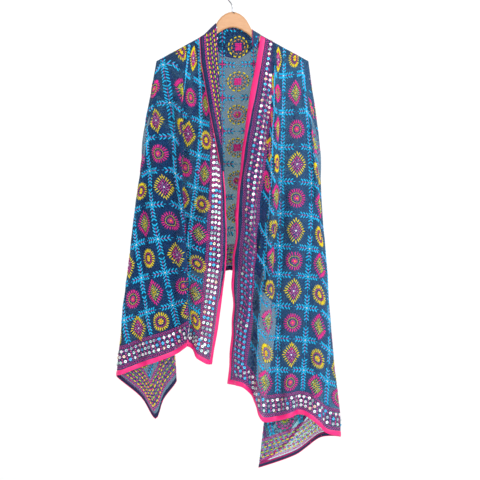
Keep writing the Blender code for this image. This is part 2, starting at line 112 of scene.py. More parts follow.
# Left side, from the back: the pleats, then the return with the cloth's corner.
LEFT_SIDE = (
    Fold(-0.225, -0.251, -0.267, -0.274, 0.031, 0.049, 0.058, -0.813, 1),
    Fold(-0.225, -0.251, -0.267, -0.274, 0.027, 0.042, 0.050, -0.817, 0),
    Fold(-0.224, -0.202, -0.164, -0.128, 0.024, 0.039, 0.046, -0.826, 0),
    Fold(-0.224, -0.202, -0.164, -0.128, 0.019, 0.031, 0.037, -0.836, 0),
    Fold(-0.225, -0.248, -0.277, -0.298, 0.016, 0.028, 0.034, -0.902, 0),
    Fold(-0.225, -0.248, -0.277, -0.298, 0.012, 0.021, 0.026, -0.924, 0),
    Fold(-0.224, -0.212, -0.194, -0.180, 0.009, 0.016, 0.020, -1.086, 0),
    Fold(-0.224, -0.205, -0.186, -0.167, 0.006, 0.011, 0.014, -1.155, 0),
    Fold(-0.224, -0.205, -0.187, -0.169, 0.002, 0.004, 0.006, -1.170, 0),
    Fold(-0.224, -0.218, -0.212, -0.204, 0.002, 0.003, 0.003, -1.217, 0),
    Fold(-0.224, -0.228, -0.230, -0.228, 0.001, 0.001, 0.001, -1.275, 0),
    Fold(-0.225, -0.246, -0.264, -0.270, 0.001, 0.001, 0.001, -1.212, 0),
)
# Left front: the outer drape as far as its deep fold, then the inner strip.
LEFT_FRONT = (
    Fold(-0.225, -0.270, -0.310, -0.342, -0.003, -0.008, -0.012, -1.149, -1),
    Fold(-0.218, -0.263, -0.300, -0.327, -0.016, -0.024, -0.032, -1.141, -1),
    Fold(-0.211, -0.247, -0.270, -0.282, -0.012, -0.016, -0.018, -1.124, -1),
    Fold(-0.197, -0.220, -0.229, -0.224, -0.032, -0.040, -0.046, -1.103, -1),
    Fold(-0.178, -0.179, -0.180, -0.175, -0.014, -0.022, -0.032, -1.085, -1),
    Fold(-0.144, -0.150, -0.142, -0.133, -0.040, -0.052, -0.058, -1.055, -1),
    Fold(-0.140, -0.146, -0.138, -0.129, -0.032, -0.042, -0.048, -1.051, -1),
    Fold(-0.122, -0.160, -0.179, -0.195, -0.010, -0.012, -0.014, -1.053, -1),
    Fold(-0.099, -0.095, -0.130, -0.126, -0.012, -0.006, -0.006, -1.062, -1),
    Fold(-0.081, -0.062, -0.074, -0.105, -0.028, -0.026, -0.024, -1.094, -1),
    Fold(-0.049, -0.032, -0.018, -0.060, -0.016, -0.012, -0.008, -1.122, -1),
)
# Place across the flat cloth of each front fold line, at its top and its hem.
RIGHT_FRONT_V = ((0.0, 0.0), (0.055, 0.075), (0.083, 0.115), (0.160, 0.175),
                 (0.226, 0.220), (0.274, 0.268), (0.320, 0.315), (0.330, 0.365),
                 (0.345, 0.425), (0.345, 0.485))
LEFT_FRONT_V = ((0.345, 0.700), (0.340, 0.655), (0.325, 0.600), (0.300, 0.510),
                (0.270, 0.448), (0.212, 0.404), (0.206, 0.394), (0.170, 0.270),
                (0.130, 0.130), (0.075, 0.075), (0.0, 0.0))
# Where some of the right lines run on the way down, by share of the drop.
RIGHT_LINE_V = {1: ((0, 0.020), (0.137, 0.029), (0.285, 0.042), (0.40, 0.050),
                    (0.62, 0.053), (0.785, 0.057), (0.883, 0.067), (1, 0.075)),
                2: ((0, 0.034), (0.137, 0.055), (0.285, 0.079), (0.40, 0.084),
                    (0.62, 0.085), (0.785, 0.088), (0.883, 0.100), (1, 0.115)),
                7: ((0, 0.335), (0.4, 0.348), (0.52, 0.362), (0.62, 0.370), (1, 0.365)),
                8: ((0, 0.350), (0.1, 0.360), (0.2, 0.370), (0.3, 0.385), (0.4, 0.390),
                    (0.62, 0.405), (1, 0.425)),
                9: ((0, 0.355), (0.1, 0.368), (0.2, 0.382), (0.4, 0.405), (0.62, 0.430),
                    (1, 0.485))}
PLAIN_BAND = 1.15       # power that draws out the cloth beside the right edging
# How far the left front's cross lines are drawn up along each fold line, and where.
LEFT_FRONT_RISE = (-0.045, -0.042, -0.035, -0.015, 0.0, 0.057, 0.060, 0.065, 0.080,
                   0.056, 0.050)
RISE_SHARES = ((0.0, 1.0), (0.45, 1.0), (1.0, 0.0))
# How much farther across they lie at their tops.
LEFT_TOP_V = (0.0, 0.0, 0.0, 0.010, 0.030, 0.050, 0.049, 0.045, 0.0, 0.0, 0.0)
LEFT_TOP_REACH = 0.42   # share of the drop at which that ends
# How far the cross lines sag along each right front fold line, and where.
RIGHT_FRONT_SAG = (0.0, 0.006, 0.006, 0.0, 0.0, 0.014, 0.028, 0.018, 0.0, 0.0)
SAG_SHARES = ((0.0, 0.2), (0.4, 1.0), (0.85, 1.0), (1.0, 0.0))
# Place on the flat cloth, (u, v), of each side fold line at the hem.
RIGHT_SIDE_FLAT = ((1.37, 0.553), (1.37, 0.650), (1.37, 0.762), (1.37, 0.775),
                   (1.37, 0.90), (1.07, 0.90), (1.05, 0.90), (0.73, 0.90),
                   (0.71, 0.90), (0.43, 0.90), (0.42, 0.90))
LEFT_SIDE_FLAT = ((-0.36, 0.90), (-0.37, 0.90), (-0.51, 0.90), (-0.53, 0.90),
                  (-0.69, 0.90), (-0.71, 0.90), (-0.93, 0.90), (-0.99, 0.90),
                  (-1.00, 0.90), (-1.06, 0.90), (-1.13, 0.90), (-1.13, 0.80))
# Top of the cloth round the neck, where it stands clear of the arms.
NECK_LINE = ((-0.085, -0.1378), (-0.049, -0.102), (0.0, -0.100),
             (0.059, -0.122), (0.085, -0.1378))
# The lapel's free edge: height, and where it lies across.
LAPEL_EDGE = ((-0.143, -0.097), (-0.215, -0.093), (-0.351, -0.070),
              (-0.443, -0.052), (-0.520, -0.037))
LAPEL_TOP = 0.002       # drop of its first row
LAPEL_TURN = Vector((0.0012, -0.0018, 0.0))     # the turn at its fold
LAPEL_CLEAR = 0.0032    # how far it lies in front of the strip at the fold
LAPEL_FLARE = 0.006     # and how much farther at its free edge
# How much of the left front is folded out as the lapel, by height.
LAPEL_WIDTH = ((-0.538, 0.0), (-0.443, 0.025), (-0.351, 0.042), (-0.215, 0.060),
               (-0.10, 0.068))
# The neck fold-over at the back: how far down it hangs, by place.
FOLD_OVER = ((-0.097, 0.014), (-0.060, 0.072), (0.0, 0.103),
             (0.050, 0.068), (0.086, 0.014))
OVER_RIGHT = (0.083, 0.090, 0.094, 0.094)       # its two ends, across, down the back
OVER_LEFT = (-0.094, -0.100, -0.104, -0.104)
OVER_BETWEEN = (-0.08, 0.07)                    # the back's fold lines between them
OVER_TURN = ((0.0, 0.0), (0.0016, 0.0022))      # the turn at its top: depth and rise
OVER_CLEAR = 0.0042     # how far it lies behind the back at its top
OVER_FLARE = 0.003      # and how much farther at its edge
OVER_LEAST = 0.0004     # least drop of a row
OVER_LEVELS = 16
OVER_STRETCH = 1.02     # flat length of a metre across
# The cloth over a tip of the hanger: the shares of the drop it spans in front,
# how much higher it ends at the back, and how far it bulges.
TIP_SHARES = (0.003, 0.317)
TIP_REAR = 0.055
TIP_BULGE = 0.09
# The turn of cloth beside the neck: its rows' drops, its width, and its inner
# top corner in space and on the flat cloth.
TURN_DROPS = (0.0, 0.001, 0.0035, 0.009, 0.016, 0.025, 0.035, 0.046)
TURN_WIDTH = 0.0235
TURN_START = 0.0585
TURN_FLAT = (0.33, 0.207)
TURN_TAPER = 0.20       # how much it narrows on the way down
TURN_WAVE = 0.0008      # how uneven its face is
TURN_CLEAR = 0.0003     # how far it lies in front of the rolled cloth
# Half the back's length on the flat cloth, at its top and hem: right, then left.
BACK_U = ((0.26, 0.42), (0.255, 0.36))
# Place across the flat cloth, by distance above the back's hem; higher up the
# cloth is gathered a little.
BACK_V = ((0.0, WIDTH), (BORDER, WIDTH - BORDER), (0.123, 0.802), (0.62, 0.318))
BACK_GATHER = 0.90
# Rows of the shown cloth: drops from its top, then shares of the whole drop.
ROLL_DROPS = (0.0, 0.0010, 0.0032, 0.0073)
FIRST_LEVEL = 0.02
LEVEL_RANGE = 0.955
LEVEL_STEP = 0.0145
COLUMN_STEP = 0.0065    # metres between two columns
# The left strip's tip: where its rounding starts across, how wide and high it is.
TIP_START = -0.080
TIP_ROUND = 0.033
TIP_LIFT = 0.022
TIP_SHARE = 0.07        # and in how much of the drop, from the hem up
FOLD_CLEAR = 0.008      # how far from the lapel's fold the strip's stitches stop
FREE_COLUMNS = 16       # how many columns from the pleats the cloth hangs freely


# ---------------------------------------------------------------- the folds
def table_value(table, place):
    """Straight-line value of a two-column table at a place."""
    rows = sorted(table)
    if place <= rows[0][0]:
        return rows[0][1]
    for (x0, v0), (x1, v1) in zip(rows, rows[1:]):
        if place <= x1:
            return v0 + (v1 - v0) * (place - x0) / (x1 - x0)
    return rows[-1][1]


def smooth_share(value, start, end):
    """0 before the start and 1 past the end, with a soft step between."""
    share = min(max((value - start) / (end - start), 0.0), 1.0)
    return share * share * (3 - 2 * share)


def top_height(x):
    """Height of the cloth where it goes over the hanger or round the neck."""
    if abs(x) < NECK_LINE[-1][0]:
        return table_value(NECK_LINE, x)
    return ARM_TOP - ARM_SLOPE * (abs(x) - ARM_START)


def four_level(values, share):
    """Smooth curve through values at 0, 1/3, 2/3 and 1 of the drop."""
    a, b, c, d = values
    ends = (2 * a - b, a, b, c, d, 2 * d - c)
    place = min(max(share, 0.0), 1.0) * 3
    step = min(int(place), 2)
    f = place - step
    p0, p1, p2, p3 = ends[step:step + 4]
    return 0.5 * (2 * p1 + (p2 - p0) * f + (2 * p0 - 5 * p1 + 4 * p2 - p3) * f * f
                  + (3 * p1 - p0 - 3 * p2 + p3) * f ** 3)


def roll_depth(x_top, drop, side):
    """How far the roll over the arm carries the cloth from the middle plane."""
    tip = min(max((abs(x_top) - TIP_PLACE[0]) / (TIP_PLACE[1] - TIP_PLACE[0]), 0.0), 1.0)
    radius = OVER_ARM + (TIP_ROLL - OVER_ARM) * tip
    low = min(drop, radius)
    roll = max(math.sqrt(radius ** 2 - (radius - low) ** 2), SHELL * tip)
    over_arm = smooth_share(abs(x_top), *ARM_PLACE)
    return side * (roll * over_arm + BESIDE_NECK * (1 - over_arm))


def fold_point(fold, drop):
    """Place across and in depth of a fold line, a drop below its top."""
    share = drop / (top_height(fold.x_top) - fold.z_hem)
    x = four_level((fold.x_top, fold.x_upper, fold.x_lower, fold.x_hem), share)
    y = four_level((0.0, fold.y_upper, fold.y_lower, fold.y_hem), share)
    return Vector((x, y * min(drop / 0.05, 1.0), drop))


def smooth_row(points, cuts):
    """A smooth line through a row of points; cuts gives shares of each step."""
    knots = [0.0]
    for a, b in zip(points, points[1:]):
        knots.append(knots[-1] + max((b - a).length, 1e-4) ** 0.5)
    last = len(points) - 1
    slopes = []
    for i in range(last + 1):
        lo, hi = max(i - 1, 0), min(i + 1, last)
        slopes.append((points[hi] - points[lo]) / (knots[hi] - knots[lo]))
    row = []
    for i in range(last):
        span = knots[i + 1] - knots[i]
        for f in cuts[i]:
            h00 = 2 * f ** 3 - 3 * f ** 2 + 1
            h10 = f ** 3 - 2 * f ** 2 + f
            h01 = 3 * f ** 2 - 2 * f ** 3
            h11 = f ** 3 - f ** 2
            row.append((i + f, points[i] * h00 + slopes[i] * (h10 * span)
                        + points[i + 1] * h01 + slopes[i + 1] * (h11 * span)))
    row.append((float(last), points[last].copy()))
    return row


def level_row(folds, drops, cuts):
    """One section of the cloth: smooth across its folds, and rolled over the
    arms by the place each strand of it leaves them."""
    points = [fold_point(f, d) for f, d in zip(folds, drops)]
    row = []
    for i, point in smooth_row(points, cuts):
        lo = min(int(i), len(folds) - 2)
        f = i - lo
        x_top = folds[lo].x_top * (1 - f) + folds[lo + 1].x_top * f
        side = folds[lo].side * (1 - f) + folds[lo + 1].side * f
        share = min(point.z / 0.8, 1.0)
        depth = roll_depth(x_top, point.z, side) * (1 - share)
        row.append(Vector((point.x, point.y + depth,
                           top_height(x_top) - point.z)))
    return row


def back_fold_lines():
    """Fold lines across the back, waves that grow towards the hem."""
    lines = []
    for i in range(BACK_FOLDS):
        place = 1 - 2 * (i + 1) / (BACK_FOLDS + 1)
        wave = (1 if i % 2 == 0 else -1) * (1.0 + 0.25 * math.sin(2.3 * i + 0.6))
        x_top = BACK_TOP * place + 0.004 * math.sin(1.9 * i)
        spread = BACK_SPREAD * place + 0.006 * math.sin(2.7 * i + 1.0)
        depths = [depth + rise * wave for depth, rise in zip(BACK_DEPTHS, BACK_WAVES)]
        lines.append(Fold(x_top, 1.02 * spread, 1.05 * spread, 1.06 * spread,
                          *depths, BACK_HEM, 1))
    return lines


def even_cuts(count):
    return tuple(i / count for i in range(count))


def column_cuts(folds):
    """How finely each step between fold lines is cut."""
    cuts = []
    for a, b in zip(folds, folds[1:]):
        step = math.hypot(b.x_hem - a.x_hem, b.y_hem - a.y_hem)
        cuts.append(even_cuts(min(max(round(step / COLUMN_STEP), 4), 14)))
    return cuts


def line_drops(fold):
    """How far below its top each row of the cloth meets a fold line."""
    drop = top_height(fold.x_top) - fold.z_hem
    count = int(LEVEL_RANGE / LEVEL_STEP)
    shares = [FIRST_LEVEL + LEVEL_RANGE * i / count for i in range(count + 1)]
    return [*ROLL_DROPS, *(share * drop for share in shares), drop - EDGING / 2, drop]


# ---------------------------------------------------------------- the flat cloth
def back_u(place, drop_share):
    """Place along the flat cloth of a strand of the back."""
    end_top, end_hem = BACK_U[0] if place > 0 else BACK_U[1]
    top = end_top * (0.8 * place + 0.2 * place ** 3)
    hem = end_hem * (0.7 * place + 0.3 * place ** 3)
    return top + (hem - top) * drop_share


def back_v(below):
    """Place across the flat cloth, at a distance above the back's hem."""
    past = max(below - BACK_V[-1][0], 0.0)
    return table_value(BACK_V, below) - past * BACK_GATHER


def strand_flat(kind, line, below, total, share):
    """Flat place of a point on a fold line, from the length of line below it."""
    if kind == "right front":
        v_top, v_hem = RIGHT_FRONT_V[line]
        sag = RIGHT_FRONT_SAG[line] * table_value(SAG_SHARES, share)
        if line in RIGHT_LINE_V:
            return U_RIGHT - below - sag, table_value(RIGHT_LINE_V[line], share)
        return U_RIGHT - below - sag, v_top + (v_hem - v_top) * share ** 3
    if kind == "left front":
        v_top, v_hem = LEFT_FRONT_V[line]
        rise = LEFT_FRONT_RISE[line] * table_value(RISE_SHARES, share)
        near_top = LEFT_TOP_V[line] * max(1 - share / LEFT_TOP_REACH, 0.0)
        return U_LEFT + below + rise, v_top + (v_hem - v_top) * share + near_top
    if kind == "back":
        place = 1 - 2 * (line + 1) / (BACK_FOLDS + 1)
        return back_u(place, share), back_v(below)
    start = ARM_END_FLAT[0] if kind == "right side" else ARM_END_FLAT[1]
    end = (RIGHT_SIDE_FLAT if kind == "right side" else LEFT_SIDE_FLAT)[line]
    t = 1 - below / total
    return start[0] + (end[0] - start[0]) * t, start[1] + (end[1] - start[1]) * t


def lapel_width(z):
    """How much of the left front is folded out at a height."""
    return 0.0 if z < LAPEL_EDGE[-1][0] else table_value(LAPEL_WIDTH, z)


def fold_line_flat(strand, kind, line, drops):
    """Flat places down one fold line, lapel apart."""
    steps = np.linalg.norm(np.diff(strand, axis=0), axis=1)
    below = np.concatenate([np.cumsum(steps[::-1])[::-1], [0.0]])
    return [strand_flat(kind, line, length, below[0], drop / drops[-1])
            for length, drop in zip(below, drops)]


def flat_columns(grid, starts, kinds, drops):
    """Every point of the cloth, and its place (u, v) on the flat cloth."""
    points = np.array([[tuple(p) for p in row] for row in grid])
    lines = np.array([fold_line_flat(points[:, start], kind, line, drop)
                      for start, (kind, line), drop in zip(starts, kinds, drops)])
    lines[-1, :, 1] += [lapel_width(z) for z in points[:, -1, 2]]
    flat = np.zeros(points.shape[:2] + (2,))
    for i in range(len(kinds) - 1):
        lo, hi = starts[i], starts[i + 1]
        steps = np.linalg.norm(np.diff(points[:, lo:hi + 1], axis=1), axis=2)
        along = np.cumsum(steps, axis=1)
        whole = np.maximum(along[:, -1:], 1e-6)
        share = np.pad(along / whole, ((0, 0), (1, 0)))
        if i == 0:
            share = share ** PLAIN_BAND
        flat[:, lo:hi + 1] = (lines[i][:, None] * (1 - share[..., None])
                              + lines[i + 1][:, None] * share[..., None])
    return points, flat


# ---------------------------------------------------------------- creases
# Soft waves of the hanging chiffon: length of the wave, its heading on the flat
# cloth in degrees, its height, and where it starts.
Wave = namedtuple("Wave", "length heading height phase")
CREASE_WAVES = (
    Wave(0.083, 84, 0.0015, 0.4), Wave(0.057, 97, 0.0012, 2.1),
    Wave(0.038, 78, 0.0008, 4.0), Wave(0.131, 60, 0.0014, 1.3),
    Wave(0.096, 22, 0.0007, 5.2), Wave(0.045, 118, 0.0007, 3.3),
)


def crease_height(flat):
    """Uneven troughs and ridges, mostly along the length of the cloth."""
    u, v = flat[..., 0], flat[..., 1]
    height = np.zeros(u.shape)
    swell = 0.75 + 0.5 * np.sin(u * 7.1 + 1.0) * np.sin(v * 9.7 + 0.3)
    for wave in CREASE_WAVES:
        heading = math.radians(wave.heading)
        across = u * math.cos(heading) + v * math.sin(heading)
        bend = 0.35 * np.sin(u * 11.0 + wave.phase)
        height += wave.height * np.sin(2 * np.pi * across / wave.length + wave.phase + bend)
    return height * swell


def grid_normals(points):
    """Normals of a grid of points, on the side of the cloth's face."""
    across = np.gradient(points, axis=1)
    down = np.gradient(points, axis=0)
    normals = np.cross(down, across)
    size = np.linalg.norm(normals, axis=2, keepdims=True)
    return normals / np.maximum(size, 1e-9)


# ---------------------------------------------------------------- surfaces
# How far the cloth may be drawn out or bunched up where stitches are carried
# onto it, along and across, and how far out of square.
STRETCH_U = (0.3, 3.0)
STRETCH_V = (0.25, 3.0)
MOST_SLANT = 0.95
# The share of the drop where the creases begin, and the share over which they
# grow; then how strong they are on the pleats, and how much more elsewhere.
CREASE_START = 0.03
CREASE_GROW = 0.10
PLEAT_CREASE = 0.8
FREE_CREASE = 1.1


class Surface:
    """A stretch of shown cloth: its points, flat places, normals and triangles."""

    def __init__(self, points, flat, cells=None, face=1):
        rows, cols = points.shape[:2]
        self.face = face        # 1 where the grid's normals are on the face side, or -1
        self.grid = points
        self.points = points.reshape(-1, 3)
        self.flat = flat.reshape(-1, 2)
        self.normals = grid_normals(points).reshape(-1, 3)
        tris = []
        for j in range(rows - 1):
            for i in range(cols - 1):
                if cells is None or cells(j, i):
                    a = j * cols + i
                    tris.append((a, a + cols, a + 1))
                    tris.append((a + 1, a + cols, a + cols + 1))
        self.tris = np.array(tris)
        self.find_frames()

    def find_frames(self):
        """How each triangle carries a step on the flat cloth into space."""
        a, b, c = (self.tris[:, k] for k in range(3))
        flat_b, flat_c = self.flat[b] - self.flat[a], self.flat[c] - self.flat[a]
        real_b, real_c = self.points[b] - self.points[a], self.points[c] - self.points[a]
        area = flat_b[:, 0] * flat_c[:, 1] - flat_b[:, 1] * flat_c[:, 0]
        fair = np.abs(area) > 1e-8
        area = np.where(fair, area, 1.0)[:, None]
        self.along_u = (real_b * flat_c[:, 1:] - real_c * flat_b[:, 1:]) / area
        self.along_v = (real_c * flat_b[:, :1] - real_b * flat_c[:, :1]) / area
        size_u = np.linalg.norm(self.along_u, axis=1)
        size_v = np.linalg.norm(self.along_v, axis=1)
        slant = np.abs((self.along_u * self.along_v).sum(axis=1))
        for size, (least, most) in ((size_u, STRETCH_U), (size_v, STRETCH_V)):
            fair &= (size > least) & (size < most)
        fair &= slant < MOST_SLANT * size_u * size_v
        self.fair = fair
        verts = [(u, v, 0.0) for u, v in self.flat]
        self.tree = BVHTree.FromPolygons(verts, [tuple(t) for t in self.tris.tolist()])

    def carry(self, places):
        """Points and normals in space for places on the flat cloth."""
        lo, hi = self.flat.min(axis=0), self.flat.max(axis=0)
        down = Vector((0.0, 0.0, -1.0))
        found, hit = [], []
        for k, (u, v) in enumerate(places):
            if lo[0] < u < hi[0] and lo[1] < v < hi[1]:
                index = self.tree.ray_cast(Vector((u, v, 1.0)), down)[2]
                if index is not None and self.fair[index]:
                    found.append(index)
                    hit.append(k)
        hit, found = np.array(hit, dtype=int), np.array(found, dtype=int)
        if not len(hit):
            return hit, None, None
        corner = self.tris[found, 0]
        step = np.asarray(places)[hit] - self.flat[corner]
        along_u, along_v = self.along_u[found], self.along_v[found]
        point = self.points[corner] + along_u * step[:, :1] + along_v * step[:, 1:]
        normal = self.normals[self.tris[found]].sum(axis=1)
        normal /= np.linalg.norm(normal, axis=1, keepdims=True)
        return hit, point, normal


def crease_share(shares, columns, sides):
    """How strongly the creases show: more on the free cloth than on the pleats."""
    free = [np.abs(columns - np.clip(columns, *side)) for side in sides]
    below_arm = np.clip((shares - CREASE_START) / CREASE_GROW, 0.0, 1.0)
    loose = np.clip(np.minimum(*free) / FREE_COLUMNS, 0.0, 1.0)
    return below_arm[:, None] * (PLEAT_CREASE + FREE_CREASE * loose)[None, :]


def round_strip_tip(points, shares, strip):
    """Lift the corner of the left strip's hem, so that its tip is round."""
    beside_edge = np.clip((points[..., 0] - TIP_START) / TIP_ROUND, 0.0, 1.0) ** 1.6
    near_hem = np.clip((shares - (1 - TIP_SHARE)) / TIP_SHARE, 0.0, 1.0)[:, None]
    points[..., 2] += TIP_LIFT * beside_edge * near_hem * strip


def main_cloth(back):
    """The whole cloth but for its neck pieces, and the columns of both sides."""
    parts = (("right front", RIGHT_FRONT), ("right side", RIGHT_SIDE), ("back", back),
             ("left side", LEFT_SIDE), ("left front", LEFT_FRONT))
    folds = [fold for _, lines in parts for fold in lines]
    kinds = [(kind, i) for kind, lines in parts for i in range(len(lines))]
    cuts = column_cuts(folds)
    starts = [0]
    for steps in cuts:
        starts.append(starts[-1] + len(steps))
    drops = [line_drops(fold) for fold in folds]
    grid = [level_row(folds, [d[level] for d in drops], cuts)
            for level in range(len(drops[0]))]
    points, flat = flat_columns(grid, starts, kinds, drops)

    shares = np.array(drops[0]) / drops[0][-1]
    back_line = len(RIGHT_FRONT) + len(RIGHT_SIDE)
    right = (starts[len(RIGHT_FRONT) - 1], starts[back_line - 1])
    left = (starts[back_line + BACK_FOLDS], starts[-len(LEFT_FRONT)])
    columns = np.arange(points.shape[1])
    crease = crease_height(flat) * crease_share(shares, columns, (right, left))
    points = points + grid_normals(points) * crease[..., None]
    round_strip_tip(points, shares, columns >= starts[-3])
    open_level = int(np.argmin(np.abs(shares - PLEATS_START)))

    def shown(level, column):
        in_side = right[0] <= column < right[1] or left[0] <= column < left[1]
        return level >= open_level or not in_side

    main = Surface(points, flat, shown)
    folded = np.array([lapel_width(z) for z in main.points[:, 2]])
    hidden = (folded > 0) & (main.flat[:, 0] < 0) & (main.flat[:, 1] < folded + FOLD_CLEAR)
    main.fair &= ~hidden[main.tris].any(axis=1)
    return main, shares, right, left


def shawl_surfaces():
    """The main cloth, the two arm ends, the neck fold-over, the lapel and the
    turn of cloth beside the neck."""
    back = back_fold_lines()
    main, shares, right, left = main_cloth(back)
    flat = main.flat.reshape(main.grid.shape[:2] + (2,))
    ends = (arm_end(main.grid, flat, shares, *right),
            arm_end(main.grid, flat, shares, *left[::-1]))
    return main, ends, fold_over(back), lapel(), neck_turn()


def strand_at(values, shares, column, share):
    """A value part of the way down one strand of the cloth."""
    level = int(np.clip(np.searchsorted(shares, share) - 1, 0, len(shares) - 2))
    f = (share - shares[level]) / (shares[level + 1] - shares[level])
    return values[level, column] * (1 - f) + values[level + 1, column] * f


def arm_end(points, flat, shares, front, rear):
    """The cloth between front and back over a tip of the hanger."""
    rows, cols = 30, 10
    heights = -points[:, front, 2]

    def beside_front(values, point):
        return np.interp(-point[2], heights, values[:, front])

    first, last = TIP_SHARES
    grid, places = [], []
    for j in range(rows + 1):
        row, place_row = [], []
        for i in range(cols + 1):
            across = i / cols
            lowest = last - TIP_REAR * across
            share = first + (lowest - first) * j / rows
            a = strand_at(points, shares, front, share)
            b = strand_at(points, shares, rear, share)
            bulge = math.copysign(TIP_BULGE * np.linalg.norm(b - a), a[0])
            point = a + (b - a) * across
            point[0] += bulge * math.sin(math.pi * across)
            row.append(point)
            behind = point[1] - beside_front(points[..., 1], point)
            place_row.append((beside_front(flat[..., 0], point),
                              beside_front(flat[..., 1], point) + behind))
        grid.append(row)
        places.append(place_row)
    face = 1 if points[0, front, 0] > 0 else -1
    return Surface(np.array(grid), np.array(places), face=face)


def fold_over(back):
    """The neck edge, turned down outside the back."""
    right, left = (Fold(*end, *BACK_DEPTHS, BACK_HEM, 1) for end in (OVER_RIGHT, OVER_LEFT))
    between = [f for f in back if OVER_BETWEEN[0] < f.x_top < OVER_BETWEEN[1]]
    lines = [right, *between, left]
    cuts = [even_cuts(5)] * (len(lines) - 1)
    hangs = [table_value(FOLD_OVER, line.x_top) for line in lines]
    levels = [level / OVER_LEVELS for level in range(OVER_LEVELS + 1)]
    rise = OVER_TURN[-1][1]
    grid = []
    for step in OVER_TURN:
        row = level_row(lines, [OVER_LEAST] * len(lines), cuts)
        grid.append([tuple(p + Vector((0.0, *step))) for p in row])
    for down in levels:
        drops = [max(hang * down, OVER_LEAST) for hang in hangs]
        lift = Vector((0.0, OVER_CLEAR + OVER_FLARE * down, rise * max(1 - 4 * down, 0.0)))
        grid.append([tuple(p + lift) for p in level_row(lines, drops, cuts)])
    points = np.array(grid)
    down = np.array([0.0, 0.0, *levels])
    width = np.array([table_value(FOLD_OVER, x) for x in points[0, :, 0]])
    flat = np.zeros(points.shape[:2] + (2,))
    flat[..., 0] = points[..., 0] * OVER_STRETCH
    flat[..., 1] = width[None, :] * (1 - down[:, None])
    return Surface(points, flat, face=-1)


def lapel():
    """The left front's neck edge, folded out over the strip."""
    lines = LEFT_FRONT[-3:][::-1]
    rows, cols = 40, 10
    edge_places = range(len(LAPEL_EDGE))
    grid, places = [], []
    for j in range(rows + 1):
        place = max(j - 1, 0) / (rows - 1) * edge_places[-1]
        z_edge, x_edge = (np.interp(place, edge_places, column)
                          for column in zip(*LAPEL_EDGE))
        drops = [max(top_height(line.x_top) - z_edge, LAPEL_TOP) if j else LAPEL_TOP
                 for line in lines]
        under = level_row(lines, drops, [even_cuts(12)] * 2)
        row = [under[0], under[0] + LAPEL_TURN]
        for i in range(cols + 1):
            x = under[0].x + (x_edge - under[0].x) * i / cols
            near = min(range(len(under) - 1), key=lambda k: abs(under[k].x - x))
            a, b = under[near], under[near + 1]
            share = min(max((x - a.x) / (b.x - a.x), -0.5), 1.5)
            out = LAPEL_CLEAR + LAPEL_FLARE * i / cols
            row.append(a + (b - a) * share - Vector((0.0, out, 0.0)))
        grid.append([tuple(p) for p in row])
        across = [0.0, 0.02, *(0.04 + 0.96 * i / cols for i in range(cols + 1))]
        width = lapel_width(z_edge)
        places.append([(U_LEFT + (p.z - lines[0].z_hem) * 1.01, width * (1 - share))
                       for p, share in zip(row, across)])
    return Surface(np.array(grid), np.array(places))


def neck_turn():
    """The short turn of cloth that comes over the right arm beside the neck."""
    grid, places = [], []
    for drop in TURN_DROPS:
        row, place_row = [], []
        for i in range(9):
            across = i / 8
            x = TURN_START + TURN_WIDTH * across
            y = roll_depth(x, drop, -1) - TURN_CLEAR - TURN_WAVE * math.sin(i * 0.9)
            row.append((x - TURN_TAPER * drop * across, y, top_height(x) - drop))
            place_row.append((TURN_FLAT[0] - drop, TURN_FLAT[1] + TURN_WIDTH * across))
        grid.append(row)
        places.append(place_row)
    return Surface(np.array(grid), np.array(places), face=-1)


# ---------------------------------------------------------------- materials
def linear(red, green, blue):
    """A display colour, 0 to 255, as the shader's linear values."""
    values = []
    for value in (red, green, blue):
        share = value / 255
        values.append(share / 12.92 if share < 0.04045 else ((share + 0.055) / 1.055) ** 2.4)
    return (*values, 1.0)


NAVY = linear(8, 50, 99)
NAVY_LIGHT = linear(20, 72, 126)
SATIN = linear(246, 22, 128)
SATIN_DARK = linear(214, 6, 98)
THREADS = {"cyan": linear(0, 194, 246), "pink": linear(242, 30, 146),
           "mauve": linear(214, 92, 182), "yellow": linear(244, 216, 6),
           "lime": linear(190, 206, 40), "orange": linear(246, 160, 50),
           "white": linear(244, 246, 248)}


